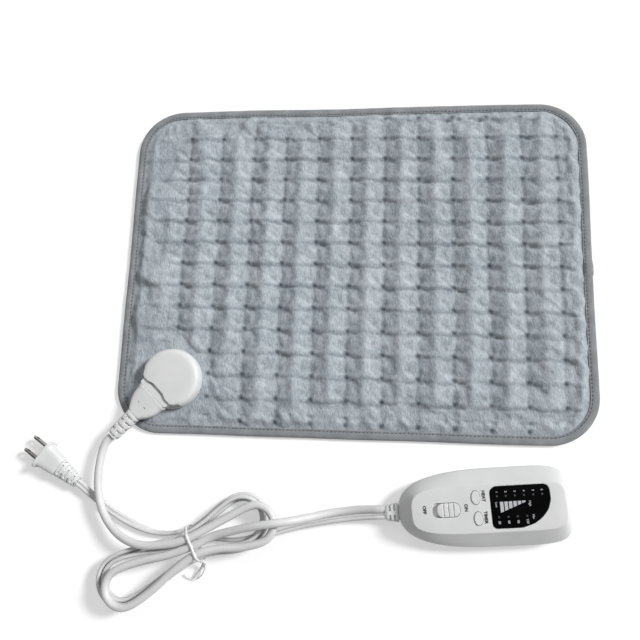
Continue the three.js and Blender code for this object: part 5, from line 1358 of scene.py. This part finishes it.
def slab(points, faces, outline, lift):
    levels = lift + PRINT_LIFT, lift + PRINT_LIFT + PRINT_DEPTH
    add_rings(points, faces, [[(x, y, z) for x, y in outline] for z in levels])


def printed(name, points, faces, look):
    obj = new_object(name, make_mesh(name, points, faces, 30))
    slot = "white_plastic" if look == "print_dark" else "dark_window"
    finish_piece(obj, "control_lead", look, slot=slot, **control_place)


def print_face():
    points, faces = [], []
    for body, place, height in (
        ("ON", (-14.3, 1.2), 2.5), ("OFF", (-45.7, 1.2), 2.5), ("HEAT", (-0.6, 9.2), 2.4),
        ("TIMER", (-0.3, -6.5), 2.4),
    ):
        word(points, faces, body, place, height, 0.07, HEIGHT)
    printed("face_words", points, faces, "print_dark")


def print_window():
    points, faces = [], []
    marks = [(str(k + 1), (x, 11.5), 1.6, 0.03) for k, x in enumerate(LEVEL_PLACES)]
    marks += [(str(30 * (k + 1)), (x, -10.7), 1.7, 0.03) for k, x in enumerate(TIMER_PLACES)]
    words = ("Low", (8.4, 2.3)), ("High", (33.4, 2.0)), ("Min", (34.8, -7.6))
    marks += [(*mark, 1.6, 0.02) for mark in words]
    for mark in marks:
        word(points, faces, *mark, MARK_LEVEL)
    (x0, high0, low0), (x1, high1, low1) = WEDGE
    for k in range(WEDGE_BARS):
        near, far = (k + 0.06) / WEDGE_BARS, (k + 0.82) / WEDGE_BARS
        slab(points, faces, [
            (mix(x0, x1, near), mix(low0, low1, near)), (mix(x0, x1, far), mix(low0, low1, far)),
            (mix(x0, x1, far), mix(high0, high1, far)), (mix(x0, x1, near), mix(high0, high1, near)),
        ], MARK_LEVEL)
    printed("window_scales", points, faces, "print_pale")


def print_dots():
    points, faces = [], []
    for xs, y in ((LEVEL_PLACES, 8.4), (TIMER_PLACES, -6.85)):
        for x in xs:
            slab(points, faces, ellipse(x, y, DOT_RADIUS, DOT_RADIUS, 20), MARK_LEVEL)
    printed("window_lamps", points, faces, "print_dim")


print_face()
print_window()
print_dots()


# Socket and connector, in the socket's own frame: x runs along the connector
CAP_RADIUS, CAP_LOW, CAP_HEIGHT, CAP_WALL, CAP_FRONT = 25.5, 9.7, 9.5, 1.8, 14.5
CAP_PROFILE = (
    (0, 1), (0.3, 0.998), (0.55, 0.99), (0.7, 0.975), (0.79, 0.955), (0.86, 0.92), (0.9, 0.875), (0.935, 0.8),
    (0.96, 0.7), (0.98, 0.56), (0.993, 0.36), (1, 0.06),
)
NOTCH_DEPTH, NOTCH_HALF, NOTCH_SLOPE, FRONT_CORNER = 2.1, 4.5, 8, 5
PIN_HEIGHT = 12.5
CONNECTOR_BACK, CONNECTOR_LENGTH, CONNECTOR_HALF, CONNECTOR_RISES = 20.1, 22.2, 15.2, (5.5, 4.7)
DENT_SHARE, DENT_SIDE, DENT_RADIUS = 0.54, 3.9, 0.9
CONNECTOR_WIDTHS = (
    (0, 0.985), (0.015, 1), (0.095, 1), (0.11, 0.99), (0.125, 0.955), (0.2, 0.935), (0.3, 0.915),
    (0.4, 0.89), (0.49, 0.86), (0.58, 0.805), (0.67, 0.74), (0.75, 0.67), (0.81, 0.6), (0.9, 0.505),
    (0.97, 0.44), (1, 0.39),
)


def cap_front(y):
    """How far forward the cap's lid reaches at y: a straight edge with a shallow notch in its middle."""
    side = math.sqrt(CAP_RADIUS ** 2 - CAP_FRONT ** 2) - FRONT_CORNER
    notch = ease((NOTCH_HALF + NOTCH_SLOPE - abs(y)) / NOTCH_SLOPE)
    corner = clamp((abs(y) - side) / FRONT_CORNER)
    return CAP_FRONT - NOTCH_DEPTH * notch - FRONT_CORNER * corner ** 2


def cap_reach(angle):
    low, high = 0.0, CAP_RADIUS
    for _ in range(24):
        middle = (low + high) / 2
        inside = middle * math.cos(angle) < cap_front(middle * math.sin(angle))
        low, high = (middle, high) if inside else (low, middle)
    return low


def cap_height(radius, height):
    share = min(radius / CAP_RADIUS, 1)
    for (r0, h0), (r1, h1) in zip(CAP_PROFILE, CAP_PROFILE[1:]):
        if share <= r1:
            return CAP_LOW + height * mix(h0, h1, (share - r0) / (r1 - r0))
    return CAP_LOW


def make_cap(count=160):
    angles = [math.tau * (i + 0.5) / count for i in range(count)]
    spans = (0.02, 0.15, 0.3, 0.45, 0.58, 0.69, 0.78, 0.85, 0.89, 0.925, 0.95, 0.97, 0.985)
    reach = [cap_reach(a) for a in angles]

    def ring_at(share, drop, inset=0.0, height=CAP_HEIGHT):
        ring = []
        for a, r in zip(angles, reach):
            radius = (r - inset) * share
            z = max(cap_height(radius, height) - drop, CAP_LOW)
            ring.append((radius * math.cos(a), radius * math.sin(a), z))
        return ring

    def rim(level):
        return [
            (r * math.cos(a), r * math.sin(a), mix(CAP_LOW, cap_height(r, CAP_HEIGHT) - 0.45, level))
            for a, r in zip(angles, reach)
        ]
    rings = [ring_at(share, 0) for share in spans]
    rings += [ring_at(0.993, 0.1), ring_at(0.998, 0.25), rim(1), rim(0.5), rim(0)]
    inward = 1 - CAP_WALL / CAP_RADIUS
    rings.append([(x * inward, y * inward, CAP_LOW) for x, y, _ in rim(0)])
    inner = (0.985, 0.94, 0.85, 0.69, 0.45, 0.02)
    rings += [ring_at(share, 0, CAP_WALL, CAP_HEIGHT - CAP_WALL) for share in inner]
    return new_object("socket_lid", loft("socket_lid", rings[::-1], 42))


def make_connector():
    rings = []
    for share, wide in CONNECTOR_WIDTHS:
        halves = CONNECTOR_HALF * wide, mix(*CONNECTOR_RISES, share) * (0.93 if share in (0, 1) else 1)
        rings.append(power_ring(CONNECTOR_BACK + CONNECTOR_LENGTH * share, (0, PIN_HEIGHT), halves, 4, 72))
    obj = new_object("plug_housing", loft("plug_housing", rings, 40))
    top = PIN_HEIGHT + mix(*CONNECTOR_RISES, DENT_SHARE)
    x = CONNECTOR_BACK + CONNECTOR_LENGTH * DENT_SHARE
    for y in (-DENT_SIDE, DENT_SIDE):
        cut_by(obj, [round_prism("tool", x, y, DENT_RADIUS, top - DENT_RADIUS, top + 1, 20)])
    return obj


socket_place = {"centre": SOCKET, "angle": SOCKET_TURN}
finish_piece(make_cap(), "pad", "white_plastic", "socket_cap", **socket_place)
finish_piece(make_connector(), *plain, "connector_body", **socket_place)
pad_relief = ribbed_relief("pad_relief", 42.6, 24.4, PIN_HEIGHT, (6.2, 6.2), (5.3, 5.3), 5, 1.7)
finish_piece(pad_relief, *plain, "connector_strain_relief", **socket_place)


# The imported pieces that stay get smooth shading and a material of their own, by how their names begin
NODE_LOOKS = {
    "wire_jacket": ("heating_wire",),
    "contact_metal": ("crimp_sleeve", "socket_pin", "plug_blade", "connector_contact"),
    "screw_steel": ("socket_screw", "case_screw", "socket_clamp_plate"),
    "white_plastic": ("socket_base", "light_mask", "cord_clamp"),
    "black_plastic": (
        "pin_block", "connector_insert", "slide_switch", "filter_capacitor", "triac", "control_chip",
        "heat_switch", "timer_switch", "heat_plunger", "timer_plunger", "thermal_fuse",
    ),
    "board": ("circuit_board",),
    "film_case": ("film_capacitor",),
    "fuse_glass": ("fuse",),
    "lamp": ("level_light", "timer_light"),
}
for look, starts in NODE_LOOKS.items():
    for name, node in nodes.items():
        if name.startswith(starts):
            dress(node, look)
            shade(node.data, 35)


# Floor, backdrop and light
FLOOR_SPAN, FLOOR_LEVEL, FLOOR_GLOW = 6000, -0.05, 0.45
# Suns: azimuth, elevation, strength and spread
KEY, FILL = (24, 36, 3.3, 12), (100, 50, 0.3, 40)
WORLD_LEVEL = 0.26


def floor_look():
    """A plain pale floor that the camera sees as white, and that keeps the object's shadow."""
    look = Look("floor", Roughness=0.9, Specular_IOR_Level=0.1)
    grain = look.noise(60, 2)
    look.color(look.ramp(grain, (0.3, (204, 204, 204)), (0.7, (207, 207, 207))))
    rays = look.tree.nodes.new("ShaderNodeLightPath").outputs
    seen = look.figure("MAXIMUM", rays["Is Camera Ray"], rays["Is Glossy Ray"])
    seen = look.figure("MAXIMUM", seen, rays["Is Transmission Ray"])
    look.shader.inputs["Emission Color"].default_value = (1, 1, 1, 1)
    look.feed(look.shader.inputs["Emission Strength"], look.figure("MULTIPLY", seen, FLOOR_GLOW))
    return look.material


def make_stage():
    points = [(x * FLOOR_SPAN, y * FLOOR_SPAN, FLOOR_LEVEL) for x, y in ((-1, -1), (1, -1), (1, 1), (-1, 1))]
    floor = new_object("floor", make_mesh("floor", points, [(0, 1, 2, 3)]))
    floor.data.materials.append(floor_look())


def add_sun(name, azimuth, elevation, strength, spread):
    data = bpy.data.lights.new(name, "SUN")
    data.energy, data.angle = strength, math.radians(spread)
    sun = new_object(name, data)
    a, e = math.radians(azimuth), math.radians(elevation)
    source = Vector((math.cos(a) * math.cos(e), math.sin(a) * math.cos(e), math.sin(e)))
    sun.rotation_euler = source.to_track_quat("Z", "Y").to_euler()


make_stage()
add_sun("key", *KEY)
add_sun("fill", *FILL)
world = bpy.data.worlds.new("studio")
scene.world = world
world.use_nodes = True
sky = world.node_tree
sky.nodes["Background"].inputs["Color"].default_value = (1, 1, 1, 1)
seen = sky.nodes.new("ShaderNodeLightPath").outputs["Is Camera Ray"]
level = sky.nodes.new("ShaderNodeMapRange")
level.inputs["To Min"].default_value = WORLD_LEVEL
sky.links.new(seen, level.inputs["Value"])
sky.links.new(level.outputs["Result"], sky.nodes["Background"].inputs["Strength"])
